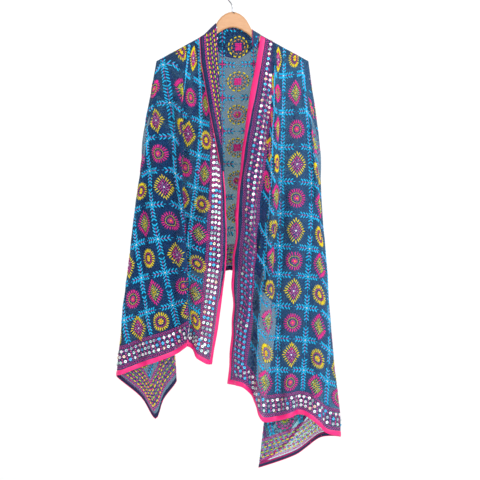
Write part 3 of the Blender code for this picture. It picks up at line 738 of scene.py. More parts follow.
class Nodes:
    """Short hand for building one material's nodes."""

    def __init__(self, name):
        self.material = bpy.data.materials.new(name)
        self.material.use_nodes = True
        self.tree = self.material.node_tree
        self.shader = self.tree.nodes["Principled BSDF"]

    def add(self, kind, **settings):
        node = self.tree.nodes.new(kind)
        for key, value in settings.items():
            if hasattr(node, key):
                setattr(node, key, value)
            else:
                node.inputs[key].default_value = value
        return node

    def feed(self, source, socket):
        """Link a source to a socket, or set the socket to a constant."""
        if hasattr(source, "links"):
            self.tree.links.new(source, socket)
        else:
            socket.default_value = source

    def math(self, operation, a, b=0.0, clamp=False):
        node = self.add("ShaderNodeMath", operation=operation, use_clamp=clamp)
        self.feed(a, node.inputs[0])
        self.feed(b, node.inputs[1])
        return node.outputs[0]

    def plus(self, a, b):
        return self.math("ADD", a, b)

    def minus(self, a, b):
        return self.math("SUBTRACT", a, b)

    def times(self, a, b):
        return self.math("MULTIPLY", a, b)

    def area(self, axes, ramps):
        """The product of ramps, each an axis, where it starts and its slope."""
        whole = None
        for axis, start, slope in ramps:
            ramp = self.math("MULTIPLY", self.minus(axes[axis], start), slope, True)
            whole = ramp if whole is None else self.times(whole, ramp)
        return whole

    def mix(self, share, a, b):
        node = self.add("ShaderNodeMix", data_type="RGBA")
        for socket, value in zip((0, 6, 7), (share, a, b)):
            self.feed(value, node.inputs[socket])
        return node.outputs[2]

    def noise(self, scale, detail, vector):
        node = self.add("ShaderNodeTexNoise", Scale=scale, Detail=detail)
        self.feed(vector, node.inputs["Vector"])
        return node.outputs["Fac"]

    def wave(self, scale, vector, direction="X"):
        node = self.add("ShaderNodeTexWave", bands_direction=direction, Scale=scale)
        self.feed(vector, node.inputs["Vector"])
        return node.outputs["Fac"]

    def uv(self, name):
        return self.add("ShaderNodeUVMap", uv_map=name).outputs["UV"]

    def spots(self, scale=(1.0, 1.0, 1.0)):
        """Places in the piece's own frame, stretched by a scale."""
        node = self.add("ShaderNodeMapping", Scale=scale)
        self.feed(self.add("ShaderNodeTexCoord").outputs["Object"], node.inputs["Vector"])
        return node.outputs[0]

    def bump(self, height, strength, distance):
        node = self.add("ShaderNodeBump", Strength=strength, Distance=distance)
        self.feed(height, node.inputs["Height"])
        self.feed(node.outputs["Normal"], self.shader.inputs["Normal"])

    def set(self, **values):
        """Set the shader's sockets, by constants or by links."""
        for key, value in values.items():
            self.feed(value, self.shader.inputs[key.replace("_", " ")])


# Areas of the flat cloth, each a product of ramps: the axis, where the ramp
# starts and its slope. The axis "edge" is the distance from the nearest edge.
HEM = (("edge", 0.0088, -900.0),)
INSIDE_HEM = (("edge", 0.0077, 900.0),)
BAND = (("edge", 0.015, 400.0), ("edge", 0.0785, -400.0))
# Painted light: a lighter blue laid over the right panel, as though more light fell on it.
RIGHT_PANEL_PAINTED_LIGHT = (("u", 0.22, 8.0), ("v", 0.120, 20.0))
RIGHT_EDGE = (("u", 0.30, 6.0), ("v", 0.128, -100.0))
LEFT_STRIP = (("u", -0.60, -6.0), ("v", 0.40, -20.0), ("v", 0.070, 100.0))
RIGHT_CORNER = (("u", 1.26, 20.0), ("v", 0.52, 40.0), *INSIDE_HEM)
RIGHT_LOW = (("u", 1.10, 7.0), ("v", 0.425, 22.0), *INSIDE_HEM)
# How dense the chiffon is, and how much denser or thinner in an area.
DENSITY = 0.54
DENSER = ((HEM, 0.40), (BAND, 0.12), (RIGHT_EDGE, 0.24), (LEFT_STRIP, 0.22),
          (RIGHT_CORNER, -0.32), (RIGHT_LOW, -0.17))
# The colours laid over the navy, and how much of each: painted light, a lighter blue on the
# right panel where more light falls, the mauve under the border, and the darker hem.
OVERLAYS = ((RIGHT_PANEL_PAINTED_LIGHT, 0.42, linear(68, 114, 158)), (BAND, 0.30, linear(110, 42, 104)),
            (HEM, 0.8, linear(24, 24, 58)))
SEEN_THROUGH = (0.80, 0.95, 0.97, 1.0)      # tint of what shows through the chiffon


def chiffon_material():
    """Sheer navy chiffon: darker where it is hemmed, mauve under the border, and lighter on the
    right panel, which is painted light.
    """
    nodes = Nodes("navy_chiffon")
    place = nodes.uv("flat")
    split = nodes.add("ShaderNodeSeparateXYZ")
    nodes.feed(place, split.inputs[0])
    u, v = split.outputs[0], split.outputs[1]
    to_end = nodes.math("MINIMUM", nodes.minus(u, U_LEFT), nodes.minus(U_RIGHT, u))
    to_side = nodes.math("MINIMUM", v, nodes.minus(WIDTH, v))
    axes = {"u": u, "v": v, "edge": nodes.math("MINIMUM", to_end, to_side)}

    base = nodes.mix(nodes.noise(9.0, 3.0, place), NAVY, NAVY_LIGHT)
    fine = nodes.noise(420.0, 2.0, place)
    base = nodes.mix(nodes.times(fine, 0.35), base, linear(10, 30, 60))
    for ramps, share, colour in OVERLAYS:
        base = nodes.mix(nodes.times(nodes.area(axes, ramps), share), base, colour)

    solid = nodes.times(nodes.minus(fine, 0.5), 0.25)
    for ramps, change in DENSER:
        solid = nodes.plus(solid, nodes.times(nodes.area(axes, ramps), change))
    clear = nodes.add("ShaderNodeBsdfTransparent", Color=SEEN_THROUGH)
    blend = nodes.add("ShaderNodeMixShader")
    nodes.feed(nodes.math("ADD", solid, DENSITY, True), blend.inputs[0])
    nodes.feed(clear.outputs[0], blend.inputs[1])
    nodes.feed(nodes.shader.outputs[0], blend.inputs[2])
    nodes.feed(blend.outputs[0], nodes.tree.nodes["Material Output"].inputs["Surface"])

    weave = nodes.plus(nodes.wave(620.0, place, "X"), nodes.wave(620.0, place, "Y"))
    crepe = nodes.plus(weave, nodes.noise(160.0, 3.0, place))
    puckers = nodes.times(nodes.noise(46.0, 2.0, place), 5.0)
    nodes.bump(nodes.plus(crepe, puckers), 0.5, 0.0006)
    nodes.set(Base_Color=base, Roughness=0.82, Sheen_Weight=0.06, Sheen_Roughness=0.5,
              Specular_IOR_Level=0.25)
    return nodes.material


def satin_material():
    """Shiny pink satin, with a little unevenness from the needle."""
    nodes = Nodes("pink_satin_edging")
    place = nodes.uv("flat")
    threads = nodes.times(nodes.wave(480.0, place, "Y"), 0.2)
    nodes.bump(nodes.plus(threads, nodes.noise(140.0, 2.0, place)), 0.4, 0.0008)
    nodes.set(Base_Color=nodes.mix(nodes.noise(55.0, 2.0, place), SATIN, SATIN_DARK),
              Roughness=0.42, Sheen_Weight=0.15, Sheen_Roughness=0.35)
    return nodes.material


def thread_material(name, colour):
    """Embroidery floss: twisted strands, shinier than the cloth, with painted shade in the
    grooves of the twist.
    """
    nodes = Nodes("thread_" + name)
    twist = nodes.wave(260.0, nodes.uv("twist"), "DIAGONAL")
    tone = nodes.noise(38.0, 1.0, nodes.spots())
    dark = (*(channel * 0.6 for channel in colour[:3]), 1.0)
    # Painted shade and the floss's own tone: the twist's bands darken it in the grooves between
    # its strands, and the noise makes its colour uneven.
    twist_shade_and_tone = nodes.plus(nodes.times(twist, 0.25), nodes.times(tone, 0.35))
    nodes.bump(twist, 0.5, 0.0003)
    nodes.set(Base_Color=nodes.mix(twist_shade_and_tone, colour, dark), Roughness=0.5, Sheen_Weight=0.05,
              Sheen_Roughness=0.4, Specular_IOR_Level=0.3)
    return nodes.material


def sequin_material():
    """Mirror-bright round sequins, each with its own tint."""
    nodes = Nodes("sequin")
    tint = nodes.add("ShaderNodeAttribute", attribute_name="tint").outputs["Color"]
    scratch = nodes.noise(300.0, 2.0, nodes.spots())
    nodes.set(Base_Color=nodes.mix(nodes.times(scratch, 0.3), tint, linear(120, 150, 170)),
              Roughness=nodes.plus(nodes.times(scratch, 0.25), 0.10), Metallic=0.55)
    return nodes.material


def wood_material():
    """Clear-varnished beech: long grain with short darker flecks."""
    nodes = Nodes("varnished_beech")
    grain = nodes.noise(38.0, 4.0, nodes.spots((1.0, 6.0, 6.0)))
    fleck = nodes.noise(1400.0, 1.0, nodes.spots((0.12, 1.0, 1.0)))
    fleck = nodes.math("MULTIPLY", nodes.minus(fleck, 0.60), 5.0, True)
    base = nodes.mix(grain, linear(198, 150, 106), linear(180, 127, 79))
    nodes.bump(grain, 0.12, 0.0005)
    nodes.set(Base_Color=nodes.mix(nodes.times(fleck, 0.35), base, linear(160, 98, 54)),
              Roughness=0.38, Coat_Weight=0.25, Coat_Roughness=0.2)
    return nodes.material


def steel_material():
    """Drawn steel wire with fine lengthwise marks."""
    nodes = Nodes("drawn_steel")
    marks = nodes.noise(240.0, 3.0, nodes.spots())
    nodes.set(Base_Color=nodes.mix(marks, linear(138, 140, 144), linear(96, 98, 104)),
              Roughness=nodes.plus(nodes.times(marks, 0.2), 0.18), Metallic=1.0)
    return nodes.material


# ---------------------------------------------------------------- meshes
def mesh_object(name, points, faces, material, uvs=None, uv_name="flat"):
    """An object from arrays of points and triangles; uvs are one a point."""
    mesh = bpy.data.meshes.new(name)
    faces = np.asarray(faces, dtype=np.int32)
    mesh.vertices.add(len(points))
    mesh.vertices.foreach_set("co", np.asarray(points, dtype=np.float32).ravel())
    mesh.loops.add(faces.size)
    mesh.loops.foreach_set("vertex_index", faces.ravel())
    mesh.polygons.add(len(faces))
    mesh.polygons.foreach_set("loop_start", np.arange(0, faces.size, 3, dtype=np.int32))
    mesh.polygons.foreach_set("use_smooth", np.ones(len(faces), dtype=bool))
    if uvs is not None:
        layer = mesh.uv_layers.new(name=uv_name)
        layer.data.foreach_set("uv", np.asarray(uvs, dtype=np.float32)[faces.ravel()].ravel())
    mesh.update(calc_edges=True)
    mesh.validate()
    mesh.materials.append(material)
    piece = bpy.data.objects.new(name, mesh)
    bpy.context.scene.collection.objects.link(piece)
    return piece


def cloth_object(name, surfaces, material):
    """The surfaces as one thin shell."""
    points, flats, faces, count = [], [], [], 0
    for surface in surfaces:
        points.append(surface.points)
        flats.append(surface.flat)
        faces.append(surface.tris + count)
        count += len(surface.points)
    points, faces = np.concatenate(points), np.concatenate(faces)
    used = np.zeros(len(points), dtype=bool)
    used[faces.ravel()] = True
    number = np.cumsum(used) - 1
    piece = mesh_object(name, points[used], number[faces], material,
                        np.concatenate(flats)[used])
    solid = piece.modifiers.new("shell", "SOLIDIFY")
    solid.thickness = SHELL
    solid.offset = 0.0
    return piece


# ---------------------------------------------------------------- embroidery
# The grid of feather-stitched lines on the flat cloth.
LONG_LINES = tuple(0.130 + 0.096 * i for i in range(8))
CROSS_LINES = (*(-0.982 + 0.1 * i for i in range(7)), -0.265, -0.148, -0.031,
               0.065, 0.161, 0.257, 0.352, 0.461, 0.564, 0.664, 0.759, 0.855, 0.938,
               1.030, 1.125, 1.218)
SEQUIN_ROWS = (0.032, 0.047, 0.062)     # distances from the cloth's edge
BETWEEN_ROWS = (0.0395, 0.0545)
SEQUIN_PITCH = 0.0172
# Running lines of the border: distance from the edge, colour, then the length,
# width and pitch of the stitches.
FACE_LINES = tuple((distance, colour, 0.0056, 0.0017, 0.0072) for distance, colour in (
    (0.0165, "mauve"), (0.0200, "pink"), (0.0238, "mauve"),
    (0.0705, "pink"), (0.0740, "mauve"), (0.0775, "pink")))
WRONG_LINES = ((0.0175, "pink", 0.0064, 0.0024, 0.0074),
               (0.0212, "mauve", 0.0064, 0.0024, 0.0074),
               (0.0262, "yellow", 0.0104, 0.0040, 0.0138),
               (0.0328, "pink", 0.0090, 0.0030, 0.0141),
               (0.0395, "lime", 0.0104, 0.0040, 0.0141),
               (0.0462, "mauve", 0.0090, 0.0030, 0.0138),
               (0.0530, "yellow", 0.0104, 0.0040, 0.0138),
               (0.0597, "pink", 0.0090, 0.0030, 0.0141),
               (0.0664, "lime", 0.0104, 0.0040, 0.0141),
               (0.0722, "mauve", 0.0064, 0.0024, 0.0074),
               (0.0760, "pink", 0.0064, 0.0024, 0.0074))
SEQUIN_RADIUS = 0.0046
# The sequins' tints, each with the chance that one has it or a tint before it.
TINTS = ((0.40, (0.92, 0.94, 0.96)), (0.58, (0.56, 0.82, 0.78)),
         (0.76, (0.05, 0.50, 0.86)), (0.88, (0.36, 0.46, 0.52)),
         (1.01, (0.94, 0.66, 0.50)))
BLUE_FROM = 0.95            # past this place on the right border most are blue
END_ROWS = (-1.020, 1.258)  # the motif rows beyond the first and last cross line
EDGE_COLUMN = 0.101         # the motif column beyond the first long line
NECK_DIAMOND = (9, 3)       # the cell on the fold at the back of the neck
POINTED = 1.75              # how pointed a diamond motif is: 1 round, 2 straight
SWAPPED_ROWS = (12, 13)     # where the two colours change places
TUCKED_FROM = 0.78          # past this place the first column is inside a fold
SPRIG_OUT = 0.0052          # how far a sprig stands from its line
SPRIG_LEAN = 0.76           # and how far it leans from the line's heading
FIRST_SPRIG = 0.0135        # from a node to the first sprig of a line
FIRST_STEM = 0.0110         # and to its first stem stitch
# Feather stitch on each side of the cloth: pitch, and a sprig's length and width.
FACE_FEATHER = (0.0098, 0.0126, 0.0042)
WRONG_FEATHER = (0.0110, 0.0090, 0.0042)
STEM_SIZE = (0.0066, 0.0024)
STOP_AT_BORDER = 0.005      # how far before the border the sprigs stop
STOP_AT_MIDDLE = 0.0055     # and before the middle between two nodes
STEM_PAST = 0.005           # how far past the sprigs the stem runs
CYAN_STEM = 0.008           # how far before they stop it turns cyan
# The lattice between the sequins: its slant, and its stitches' length and width.
LATTICE = (0.78, 0.0076, 0.0021)
# A ring of stitches: how many and how far out, each one's length, width and
# colour, then the ring's turn and whether they lie along it. A colour may be
# the name of its part in the motif.
Ring = namedtuple("Ring", "count radius length width colour turn along",
                  defaults=(0.0, False))
FLOWER = (Ring(22, 0.0226, 0.0122, 0.0036, "main"),
          Ring(16, 0.0148, 0.0062, 0.0018, "second", 0.0, True),
          Ring(9, 0.0062, 0.0078, 0.0032, "main", 0.2),
          Ring(4, 0.0015, 0.0042, 0.0032, "dot", 0.0, True))
DIAMOND_KNOTS = (Ring(5, 0.0125, 0.0032, 0.0020, "white", 0.3),
                 Ring(3, 0.0015, 0.0042, 0.0030, "dot"))
WRONG_RINGS = (Ring(13, 0.0270, 0.0102, 0.0046, "main", 0.0, True),
               Ring(11, 0.0185, 0.0080, 0.0036, "second", 0.15, True))
WRONG_MIDDLE = (Ring(10, 0.0082, 0.0086, 0.0040, "centre"),
                Ring(4, 0.0015, 0.0042, 0.0030, "second", 0.0, True))
FACE_NODE = (Ring(8, 0.0072, 0.0098, 0.0040, "cyan"),
             Ring(3, 0.0013, 0.0038, 0.0030, "white"))
WRONG_NODE = (Ring(4, 0.0052, 0.0104, 0.0036, "pink"),
              Ring(4, 0.0110, 0.0080, 0.0040, "cyan", math.pi / 4))
# A lozenge of strokes: half its length and breadth, then as in a ring.
Lozenge = namedtuple("Lozenge", "half_u half_v count length width colour")
DIAMOND = (Lozenge(0.0332, 0.0258, 24, 0.0118, 0.0036, "main"),
           Lozenge(0.0205, 0.0154, 16, 0.0078, 0.0027, "second"),
           Lozenge(0.0105, 0.0080, 10, 0.0070, 0.0021, "centre"))
# The colours of a motif's parts, where it is pink and where it is yellow.
FLOWER_COLOURS = ({"main": "pink", "second": "yellow", "dot": "orange"},
                  {"main": "yellow", "second": "pink", "dot": "orange"})
DIAMOND_COLOURS = ({"main": "pink", "second": "lime", "centre": "yellow", "dot": "yellow"},
                   {"main": "yellow", "second": "pink", "centre": "mauve", "dot": "white"})
WRONG_COLOURS = ({"main": "pink", "second": "mauve", "centre": "lime"},
                 {"main": "yellow", "second": "orange", "centre": "pink"})
WRONG_DIAMOND_WIDE = 1.12   # how much longer a diamond's rings are on the wrong side
WRONG_BLOCK = (0.0066, 0.0040)      # steps of the block of stitches in its middle
WRONG_BLOCK_SIZE = (0.0092, 0.0042)
Stitch = namedtuple("Stitch", "u v angle length width colour")


def shake(size):
    return CHANCE.uniform(-size, size)


class Pattern:
    """Stitches laid down on one side of the flat cloth."""

    def __init__(self):
        self.stitches = []

    def put(self, u, v, angle, length, width, colour):
        """One stitch, a little out of place as hand sewing is."""
        self.stitches.append(Stitch(
            u + shake(0.0005), v + shake(0.0005), angle + shake(0.07),
            length * CHANCE.uniform(0.90, 1.10), width * CHANCE.uniform(0.9, 1.1), colour))

    def rings(self, u, v, rings, colours, wide=1.0):
        """Stitches round a place, pointing outward or lying along each ring."""
        for ring in rings:
            colour = colours.get(ring.colour, ring.colour)
            for k in range(ring.count):
                angle = 2 * math.pi * k / ring.count + ring.turn
                self.put(u + ring.radius * wide * math.cos(angle),
                         v + ring.radius * math.sin(angle),
                         angle + (math.pi / 2 if ring.along else 0.0),
                         ring.length, ring.width, colour)

    def lozenges(self, u, v, lozenges, colours):
        """Strokes standing outward all round lozenges with softened sides."""
        for lozenge in lozenges:
            outline = []
            for k in range(361):
                x, y = math.cos(math.radians(k)), math.sin(math.radians(k))
                outline.append(Vector(
                    (lozenge.half_u * math.copysign(abs(x) ** POINTED, x),
                     lozenge.half_v * math.copysign(abs(y) ** POINTED, y))))
            travel = [0.0]
            for a, b in zip(outline, outline[1:]):
                travel.append(travel[-1] + (b - a).length)
            for k in range(lozenge.count):
                goal = travel[-1] * k / lozenge.count
                at = next(i for i, gone in enumerate(travel) if gone >= goal)
                place = outline[at]
                ahead = outline[(at + 4) % 360] - outline[(at - 4) % 360]
                way = Vector((ahead.y, -ahead.x)).normalized() + place.normalized()
                self.put(u + place.x, v + place.y, math.atan2(way.y, way.x),
                         lozenge.length, lozenge.width, colours[lozenge.colour])


def face_motif(pattern, u, v, pink, diamond):
    """A flower wheel, or a diamond with white knots in it."""
    if not diamond:
        pattern.rings(u, v, FLOWER, FLOWER_COLOURS[not pink])
        return
    colours = DIAMOND_COLOURS[not pink]
    pattern.lozenges(u, v, DIAMOND, colours)
    pattern.rings(u, v, DIAMOND_KNOTS, colours)


def wrong_motif(pattern, u, v, pink, diamond):
    """The back of a motif: two open rings of short stitches round its middle."""
    colours = WRONG_COLOURS[not pink]
    pattern.rings(u, v, WRONG_RINGS, colours, WRONG_DIAMOND_WIDE if diamond else 1.0)
    if not diamond:
        pattern.rings(u, v, WRONG_MIDDLE, colours)
        return
    for column in range(-2, 3):
        for row in range(-1, 2):
            pattern.put(u + row * WRONG_BLOCK[0], v + column * WRONG_BLOCK[1], 0.0,
                        *WRONG_BLOCK_SIZE, colours["centre"])


def feather_line(pattern, start, end, face, to_border=False):
    """Sprigs of feather stitch, growing from both nodes to the middle, or from
    the one node to the border."""
    length = math.dist(start, end)
    heading = math.atan2(end[1] - start[1], end[0] - start[0])
    pitch, *size = FACE_FEATHER if face else WRONG_FEATHER
    ways = ((start, end, heading), (end, start, heading + math.pi))
    stop = length - STOP_AT_BORDER if to_border else 0.5 * length - STOP_AT_MIDDLE
    for near, far, angle in ways[:1] if to_border else ways:
        ahead = ((far[0] - near[0]) / length, (far[1] - near[1]) / length)
        side = (-ahead[1] * SPRIG_OUT, ahead[0] * SPRIG_OUT)
        reach = FIRST_SPRIG
        while reach < stop:
            for hand in (-1, 1):
                pattern.put(near[0] + ahead[0] * reach + side[0] * hand,
                            near[1] + ahead[1] * reach + side[1] * hand,
                            angle + hand * SPRIG_LEAN, *size, "cyan")
            reach += pitch
        stem = FIRST_STEM
        while stem < stop + STEM_PAST:
            pattern.put(near[0] + ahead[0] * stem, near[1] + ahead[1] * stem, angle,
                        *STEM_SIZE, "mauve" if stem < stop - CYAN_STEM else "cyan")
            stem += pitch


def grid_line(pattern, points, face):
    """A line of feather stitch through its nodes, and out to the border."""
    feather_line(pattern, points[1], points[0], face, True)
    for start, end in zip(points[1:-2], points[2:-1]):
        feather_line(pattern, start, end, face)
    feather_line(pattern, points[-2], points[-1], face, True)


def motif_cells():
    """Each motif's place, whether it is pink, and whether it is a diamond."""
    rows = [(-1, END_ROWS[0])]
    rows += [(r, (a + b) / 2) for r, (a, b) in enumerate(zip(CROSS_LINES, CROSS_LINES[1:]))]
    rows.append((len(CROSS_LINES) - 1, END_ROWS[1]))
    columns = [(1, EDGE_COLUMN)]
    columns += [(c + 2, (a + b) / 2) for c, (a, b) in enumerate(zip(LONG_LINES, LONG_LINES[1:]))]
    for row, u in rows:
        for column, v in columns:
            pink = (row % 2 == 0) != (row in SWAPPED_ROWS)
            turned = (row + column + (row > 11)) % 2 == 1
            yield u, v, pink, turned or (row, column) == NECK_DIAMOND


def inner_pattern(face):
    """Motifs and grid lines inside the border."""
    pattern = Pattern()
    for u, v, pink, diamond in motif_cells():
        if not face:
            wrong_motif(pattern, u, v, pink, diamond)
        elif u < TUCKED_FROM or v > LONG_LINES[0]:
            face_motif(pattern, u, v, pink, diamond)
    stops_u = (U_LEFT + BORDER, *CROSS_LINES, U_RIGHT - BORDER)
    stops_v = (BORDER, *LONG_LINES, WIDTH - BORDER)
    for v in LONG_LINES:
        grid_line(pattern, [(u, v) for u in stops_u], face)
    for u in CROSS_LINES:
        grid_line(pattern, [(u, v) for v in stops_v], face)
        for v in LONG_LINES:
            pattern.rings(u, v, FACE_NODE if face else WRONG_NODE, {})
    return pattern


def border_runs():
    """The four sides of the border: start, heading, length and inward heading."""
    long = U_RIGHT - U_LEFT
    return (((U_LEFT, 0.0), 0.0, long, math.pi / 2),
            ((U_LEFT, WIDTH), 0.0, long, -math.pi / 2),
            ((U_LEFT, 0.0), math.pi / 2, WIDTH, 0.0),
            ((U_RIGHT, 0.0), math.pi / 2, WIDTH, math.pi))


def border_places(run, distance, pitch, shift=0.0):
    """Places along one side of the border, at a distance from the edge."""
    (u0, v0), heading, length, inward = run
    count = int((length - 2 * distance) / pitch)
    step = (length - 2 * distance) / count
    for k in range(count):
        along = distance + (k + 0.5 + shift) * step
        yield (u0 + along * math.cos(heading) + distance * math.cos(inward),
               v0 + along * math.sin(heading) + distance * math.sin(inward))


def border_pattern(face):
    """Running stitches and the lattice between the sequins, or their backs."""
    pattern = Pattern()
    lines = FACE_LINES if face else WRONG_LINES
    slant, *size = LATTICE
    for run in border_runs():
        heading = run[1]
        for distance, colour, length, width, pitch in lines:
            for u, v in border_places(run, distance, pitch, CHANCE.uniform(0, 0.5)):
                pattern.put(u, v, heading, length, width, colour)
        for row in (*SEQUIN_ROWS, *BETWEEN_ROWS) if face else ():
            shift = 0.5 if row in SEQUIN_ROWS else 0.0
            for u, v in border_places(run, row, SEQUIN_PITCH, shift):
                for turn in (slant, -slant):
                    colour = "pink" if CHANCE.random() < 0.5 else "mauve"
                    pattern.put(u, v, heading + turn, *size, colour)
    return pattern


# A stitch is bent over four sections, from its start (-1) to its end (1). Its
# points are the start, then left, top and right twice, then the end: for each,
# its share along and across. Its faces follow, by those points' numbers.
SECTIONS = (-1.0, -0.5, 0.5, 1.0)
STITCH_HEIGHT = 0.0010
STITCH_ENDS = 0.0003            # height of a stitch's two ends
STITCH_SUNK = 0.0001            # how deep its foot lies in the cloth
TWIST_STEP = 0.0137             # where the twist starts, from one stitch to the next
STITCH_STRETCH = (0.3, 2.2)     # how short or long a carried stitch may be
STITCH_ALONG = np.array((0, 0.25, 0.25, 0.25, 0.75, 0.75, 0.75, 1.0))
STITCH_ACROSS = np.array((0.5, 0.0, 0.5, 1.0, 0.0, 0.5, 1.0, 0.5))
STITCH_FACES = np.array(((0, 2, 1), (0, 3, 2), (0, 1, 3), (1, 2, 4), (4, 2, 5), (2, 3, 5),
                         (5, 3, 6), (1, 4, 3), (3, 4, 6), (7, 4, 5), (7, 5, 6), (7, 6, 4)))


def carry_stitches(data, surface):
    """The stitches that land whole on a surface: their numbers, and the points
    and normals of their sections."""
    way = np.stack([np.cos(data[:, 2]), np.sin(data[:, 2])], axis=1)
    carried = [surface.carry(data[:, :2] + way * (data[:, 3:4] * step / 2))
               for step in SECTIONS]
    kept = carried[0][0]
    for hit, _, _ in carried[1:]:
        kept = np.intersect1d(kept, hit)
    if not len(kept):
        return kept, []
    rows = []
    for hit, point, normal in carried:
        pick = np.searchsorted(hit, kept)
        rows.append((point[pick], normal[pick]))
    reach = np.linalg.norm(rows[-1][0] - rows[0][0], axis=1)
    least, most = (data[kept, 3] * share for share in STITCH_STRETCH)
    fair = (reach > least) & (reach < most)
    return kept[fair], [(point[fair], normal[fair]) for point, normal in rows]


def stitch_mesh(name, stitches, surfaces, side, material):
    """All the stitches of one colour as one mesh, bent along the cloth."""
    data = np.array([(s.u, s.v, s.angle, s.length, s.width) for s in stitches])
    points, faces, uvs, count = [], [], [], 0
    for surface in surfaces:
        kept, rows = carry_stitches(data, surface)
        if not len(kept):
            continue
        outward = side * surface.face
        length, width = data[kept, 3:4], data[kept, 4:5]
        run = rows[-1][0] - rows[0][0]
        run /= np.linalg.norm(run, axis=1, keepdims=True)
        corners = []
        for step, (point, normal) in zip(SECTIONS, rows):
            up = normal * outward
            base = point + up * (SHELL / 2 - STITCH_SUNK)
            if abs(step) == 1.0:
                corners.append(base + up * STITCH_ENDS)
                continue
            across = np.cross(up, run) * outward * width / 2
            corners += [base - across, base + up * STITCH_HEIGHT, base + across]
        uv = np.stack([STITCH_ALONG[None] * length, STITCH_ACROSS[None] * width], axis=2)
        uv[..., 0] += kept[:, None] * TWIST_STEP
        shape = STITCH_FACES if outward > 0 else STITCH_FACES[:, ::-1]
        first = count + 8 * np.arange(len(kept))[:, None, None]
        points.append(np.stack(corners, axis=1).reshape(-1, 3))
        faces.append((shape[None] + first).reshape(-1, 3))
        uvs.append(uv.reshape(-1, 2))
        count += len(points[-1])
    return mesh_object(name, np.concatenate(points), np.concatenate(faces), material,
                       np.concatenate(uvs), "twist")


def pick_tint(u, v):
    """A sequin's tint; most are blue low on the right border."""
    chance = CHANCE.random()
    if u > BLUE_FROM and v < BORDER:
        chance = 0.56 + 0.25 * chance       # the blue tint's share, and a little more
    return next(tint for limit, tint in TINTS if chance < limit)


# Rings of a cupped sequin with a hole: radius and height above its middle.
SEQUIN_RINGS = ((0.0011, 0.0001), (0.62 * SEQUIN_RADIUS, 0.0), (SEQUIN_RADIUS, 0.0007),
                (SEQUIN_RADIUS, 0.0003), (0.0011, -0.0004))
SEQUIN_SIDES = 12
SEQUIN_TILT = 0.16
SEQUIN_LIFT = 0.0012        # how far its middle stands off the cloth


def sequin_faces(start):
    """Faces of one sequin, whose points are numbered from a start."""
    for ring in range(len(SEQUIN_RINGS)):
        upper = start + ring * SEQUIN_SIDES
        lower = start + (ring + 1) % len(SEQUIN_RINGS) * SEQUIN_SIDES
        for s in range(SEQUIN_SIDES):
            n = (s + 1) % SEQUIN_SIDES
            yield upper + s, lower + s, upper + n
            yield upper + n, lower + s, lower + n


def sequin_mesh(surfaces, material):
    """Sequins in three rows along the border's face side."""
    places = []
    for run in border_runs():
        for row in SEQUIN_ROWS:
            places += border_places(run, row, SEQUIN_PITCH)
    places = np.array(places)
    tints = [pick_tint(u, v) for u, v in places]
    tilts = [(shake(SEQUIN_TILT), shake(SEQUIN_TILT)) for _ in places]
    points, faces, colours = [], [], []
    for surface in surfaces:
        hit, point, normal = surface.carry(places)
        for k, index in enumerate(hit):
            up = Vector(normal[k]) * surface.face
            right = up.cross(Vector((0.0, 0.0, 1.0))).normalized()
            tilt_a, tilt_b = tilts[index]
            up = (up + right * tilt_a + up.cross(right) * tilt_b).normalized()
            right = (right - up * right.dot(up)).normalized()
            ahead = up.cross(right)
            centre = Vector(point[k]) + up * (SHELL / 2 + SEQUIN_LIFT)
            faces += sequin_faces(len(points))
            for radius, lift in SEQUIN_RINGS:
                for s in range(SEQUIN_SIDES):
                    angle = 2 * math.pi * s / SEQUIN_SIDES
                    points.append(centre + right * (radius * math.cos(angle))
                                  + ahead * (radius * math.sin(angle)) + up * lift)
                    colours.append((*tints[index], 1.0))
    piece = mesh_object("sequins", [tuple(p) for p in points], faces, material)
    layer = piece.data.color_attributes.new("tint", "FLOAT_COLOR", "POINT")
    layer.data.foreach_set("color", np.array(colours, dtype=np.float32).ravel())
    return piece


# ---------------------------------------------------------------- satin edging
# Section of the edging: how far in from the cloth's edge, as a share of the
# edging's width, and how far out on the face side.
EDGING_SECTION = ((1.00, 0.0003), (0.93, 0.0012), (0.55, 0.0016), (0.14, 0.0014),
                  (-0.05, 0.0007), (-0.07, -0.0003), (0.00, -0.0010),
                  (0.04, -0.0009), (0.07, -0.0002))
LEFT_START = -0.535     # height at which the left front's edge leaves the lapel
# The edging's width, by share of the way along an edge.
RIGHT_FRONT_WIDTH = ((0.0, 0.0150), (0.08, 0.0165), (0.2, 0.0180), (0.34, 0.0115),
                     (0.6, 0.0100))
LEFT_FRONT_WIDTH = ((0.0, 0.0034), (0.44, 0.0042), (0.54, 0.0095), (1.0, 0.0100))
HEM_WIDTH = ((0.0, 0.0140),)
NECK_WIDTH = ((0.0, 0.0095),)
TURN_EDGE_WIDTH = ((0.0, 0.0045),)
Strip = namedtuple("Strip", "points inward normals widths")


def edge_strip(grid, edge, inner, widths, face=1):
    """Frames along one edge of a grid of cloth. The edge and the line inside it
    are index pairs into the grid."""
    place, inside = grid[edge], grid[inner]
    out = (grid_normals(grid) * face)[inner]
    inward = inside - place
    inward /= np.linalg.norm(inward, axis=1, keepdims=True)
    out -= inward * (out * inward).sum(axis=1, keepdims=True)
    out /= np.linalg.norm(out, axis=1, keepdims=True)
    last = len(place) - 1
    return Strip(place, inward, out, [table_value(widths, k / last) for k in range(last + 1)])


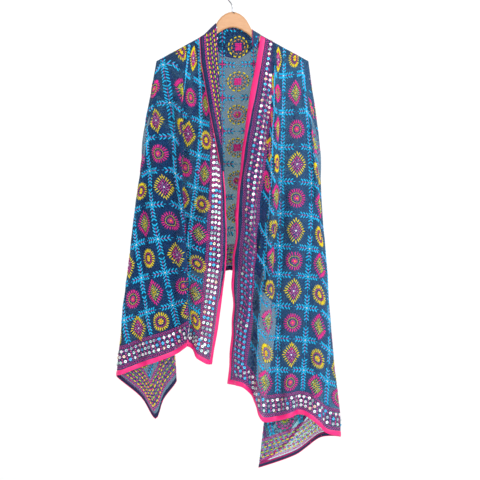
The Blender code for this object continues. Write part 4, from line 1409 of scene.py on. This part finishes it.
def strip_mesh(strips, material):
    """Closed ribbons of satin turned over the cloth's edges."""
    points, faces, uvs = [], [], []
    sides = len(EDGING_SECTION)
    for strip in strips:
        start = len(points)
        steps = np.linalg.norm(np.diff(strip.points, axis=0), axis=1)
        along = np.concatenate([[0.0], np.cumsum(steps)])
        for k, place in enumerate(strip.points):
            for share, lift in EDGING_SECTION:
                inward = strip.inward[k] * share * strip.widths[k]
                points.append(place + inward + strip.normals[k] * lift)
                uvs.append((along[k], share * strip.widths[k] + 0.5 * (lift < 0)))
        for k in range(len(strip.points) - 1):
            a = start + k * sides
            for s in range(sides):
                n = (s + 1) % sides
                faces.append((a + s, a + n, a + sides + s))
                faces.append((a + n, a + sides + n, a + sides + s))
        last = start + (len(strip.points) - 1) * sides
        for s in range(1, sides - 1):
            faces.append((start, start + s + 1, start + s))
            faces.append((last, last + s, last + s + 1))
    return mesh_object("satin_edging", points, faces, material, uvs)


def edging_strips(main, over, flap, turn):
    """The edging down both front edges, along the hem, and round the neck pieces."""
    every = slice(None)
    left = main.grid[:, -1, 2] < LEFT_START
    return [
        edge_strip(main.grid, (slice(2, None), 0), (slice(2, None), 2), RIGHT_FRONT_WIDTH),
        edge_strip(main.grid, (left, -1), (left, -3), LEFT_FRONT_WIDTH),
        edge_strip(main.grid, (-1, every), (-3, every), HEM_WIDTH),
        edge_strip(flap.grid, (every, -1), (every, -4), NECK_WIDTH, flap.face),
        edge_strip(over.grid, (-1, every), (-4, every), NECK_WIDTH, over.face),
        edge_strip(turn.grid, (every, 0), (every, 2), TURN_EDGE_WIDTH, turn.face),
    ]


# ---------------------------------------------------------------- the shawl
CLOTH_NODES = ("right_front", "right_return", "right_side_pleats", "right_arm_end",
               "right_neck_turn", "back_panel", "neck_fold_over", "left_arm_end",
               "left_side_pleats", "left_return", "left_drape", "left_strip",
               "left_lapel")
EDGING_NODES = ("edging_right_front", "edging_left_front", "edging_hem_right_front",
                "edging_hem_right_return", "edging_hem_right_side_pleats",
                "edging_hem_back_panel", "edging_hem_left_side_pleats",
                "edging_hem_left_return", "edging_hem_left_drape",
                "edging_hem_left_strip")


def make_shawl():
    """The cloth with its edging, stitches and sequins."""
    main, ends, over, flap, turn = shawl_surfaces()
    surfaces = (main, *ends, over, flap, turn)
    cloth = cloth_object("shawl_cloth", surfaces, chiffon_material())
    edging = strip_mesh(edging_strips(main, over, flap, turn), satin_material())
    threads = {name: thread_material(name, colour) for name, colour in THREADS.items()}
    pieces = []
    for side, label in ((1, "face"), (-1, "wrong")):
        stitches = inner_pattern(side > 0).stitches + border_pattern(side > 0).stitches
        for colour, material in threads.items():
            chosen = [s for s in stitches if s.colour == colour]
            if chosen:
                pieces.append(stitch_mesh(f"stitches_{label}_{colour}", chosen, surfaces,
                                          side, material))
    pieces.append(sequin_mesh(surfaces, sequin_material()))
    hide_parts(*CLOTH_NODES)
    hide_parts(*EDGING_NODES)
    for piece in (cloth, edging, *pieces):
        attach(piece, "root")


def finish_hanger():
    """Varnish on the hanger's wood and bare steel on its hook."""
    for name, material in (("hanger_wood", wood_material()),
                           ("hanger_hook", steel_material())):
        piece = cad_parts[name]
        for slot in piece.material_slots:
            slot.material = material


# ---------------------------------------------------------------- the studio
FLOOR_HEIGHT = -1.62
PAPER_REACH = 14.0          # how far the paper reaches to each side and in front
PAPER_TOP = 11.0
SWEEP_START = 6.5           # where it begins to curve up behind
SWEEP_RADIUS = 2.5
CAMERA_PLACE = (0.0225, -4.5, -0.745)
SENSOR = 36.0               # the camera's sensor, in millimetres
VIEW_HEIGHT = 1.4208        # what the picture shows at the front of the shawl
FRONT_PLANE = 0.010
Lamp = namedtuple("Lamp", "name place aim size power")
LAMPS = (Lamp("key", (2.6, -2.8, 0.9), (0.1, 0.0, -0.7), 1.2, 75.0),
         Lamp("front", (0.1, -5.4, 0.1), (0.0, 0.0, -0.7), 1.4, 45.0))


def make_paper():
    """Pale sweep of paper: a floor that curves up behind the shawl."""
    profile = [(-PAPER_REACH, FLOOR_HEIGHT), (SWEEP_START, FLOOR_HEIGHT)]
    for step in range(1, 10):
        turn = math.radians(10 * step)
        profile.append((SWEEP_START + SWEEP_RADIUS * math.sin(turn),
                        FLOOR_HEIGHT + SWEEP_RADIUS * (1 - math.cos(turn))))
    profile.append((SWEEP_START + SWEEP_RADIUS, PAPER_TOP))
    points = [(x, y, z) for x in (-PAPER_REACH, PAPER_REACH) for y, z in profile]
    faces = []
    for a in range(len(profile) - 1):
        b = a + len(profile)
        faces += [(a, b, a + 1), (a + 1, b, b + 1)]
    paper = Nodes("studio_paper")
    grain = paper.noise(60.0, 2.0, paper.spots())
    paper.set(Base_Color=paper.mix(grain, (0.91, 0.91, 0.91, 1.0), (0.94, 0.94, 0.94, 1.0)),
              Roughness=0.9, Emission_Strength=0.10)
    mesh_object("studio_sweep", points, faces, paper.material)


def make_lights():
    """Soft white light from all round, and two round lamps."""
    world = bpy.data.worlds.new("studio")
    world.use_nodes = True
    background = world.node_tree.nodes["Background"]
    background.inputs["Color"].default_value = (1.0, 1.0, 1.0, 1.0)
    background.inputs["Strength"].default_value = 0.95
    bpy.context.scene.world = world
    for lamp in LAMPS:
        light = bpy.data.lights.new(lamp.name, "AREA")
        light.shape = "DISK"
        light.size = lamp.size
        light.energy = lamp.power
        holder = bpy.data.objects.new(lamp.name, light)
        holder.location = lamp.place
        heading = Vector(lamp.aim) - Vector(lamp.place)
        holder.rotation_euler = heading.to_track_quat("-Z", "Y").to_euler()
        bpy.context.scene.collection.objects.link(holder)


def make_camera():
    """A level camera that frames the shawl."""
    lens = bpy.data.cameras.new("camera")
    lens.sensor_width = SENSOR
    lens.sensor_height = SENSOR
    lens.lens = SENSOR * (-CAMERA_PLACE[1] - FRONT_PLANE) / VIEW_HEIGHT
    camera = bpy.data.objects.new("camera", lens)
    camera.location = CAMERA_PLACE
    camera.rotation_euler = (math.pi / 2, 0.0, 0.0)
    bpy.context.scene.collection.objects.link(camera)
    bpy.context.scene.camera = camera
    bpy.context.scene.view_settings.view_transform = "Standard"


make_shawl()
finish_hanger()
make_paper()
make_lights()
make_camera()
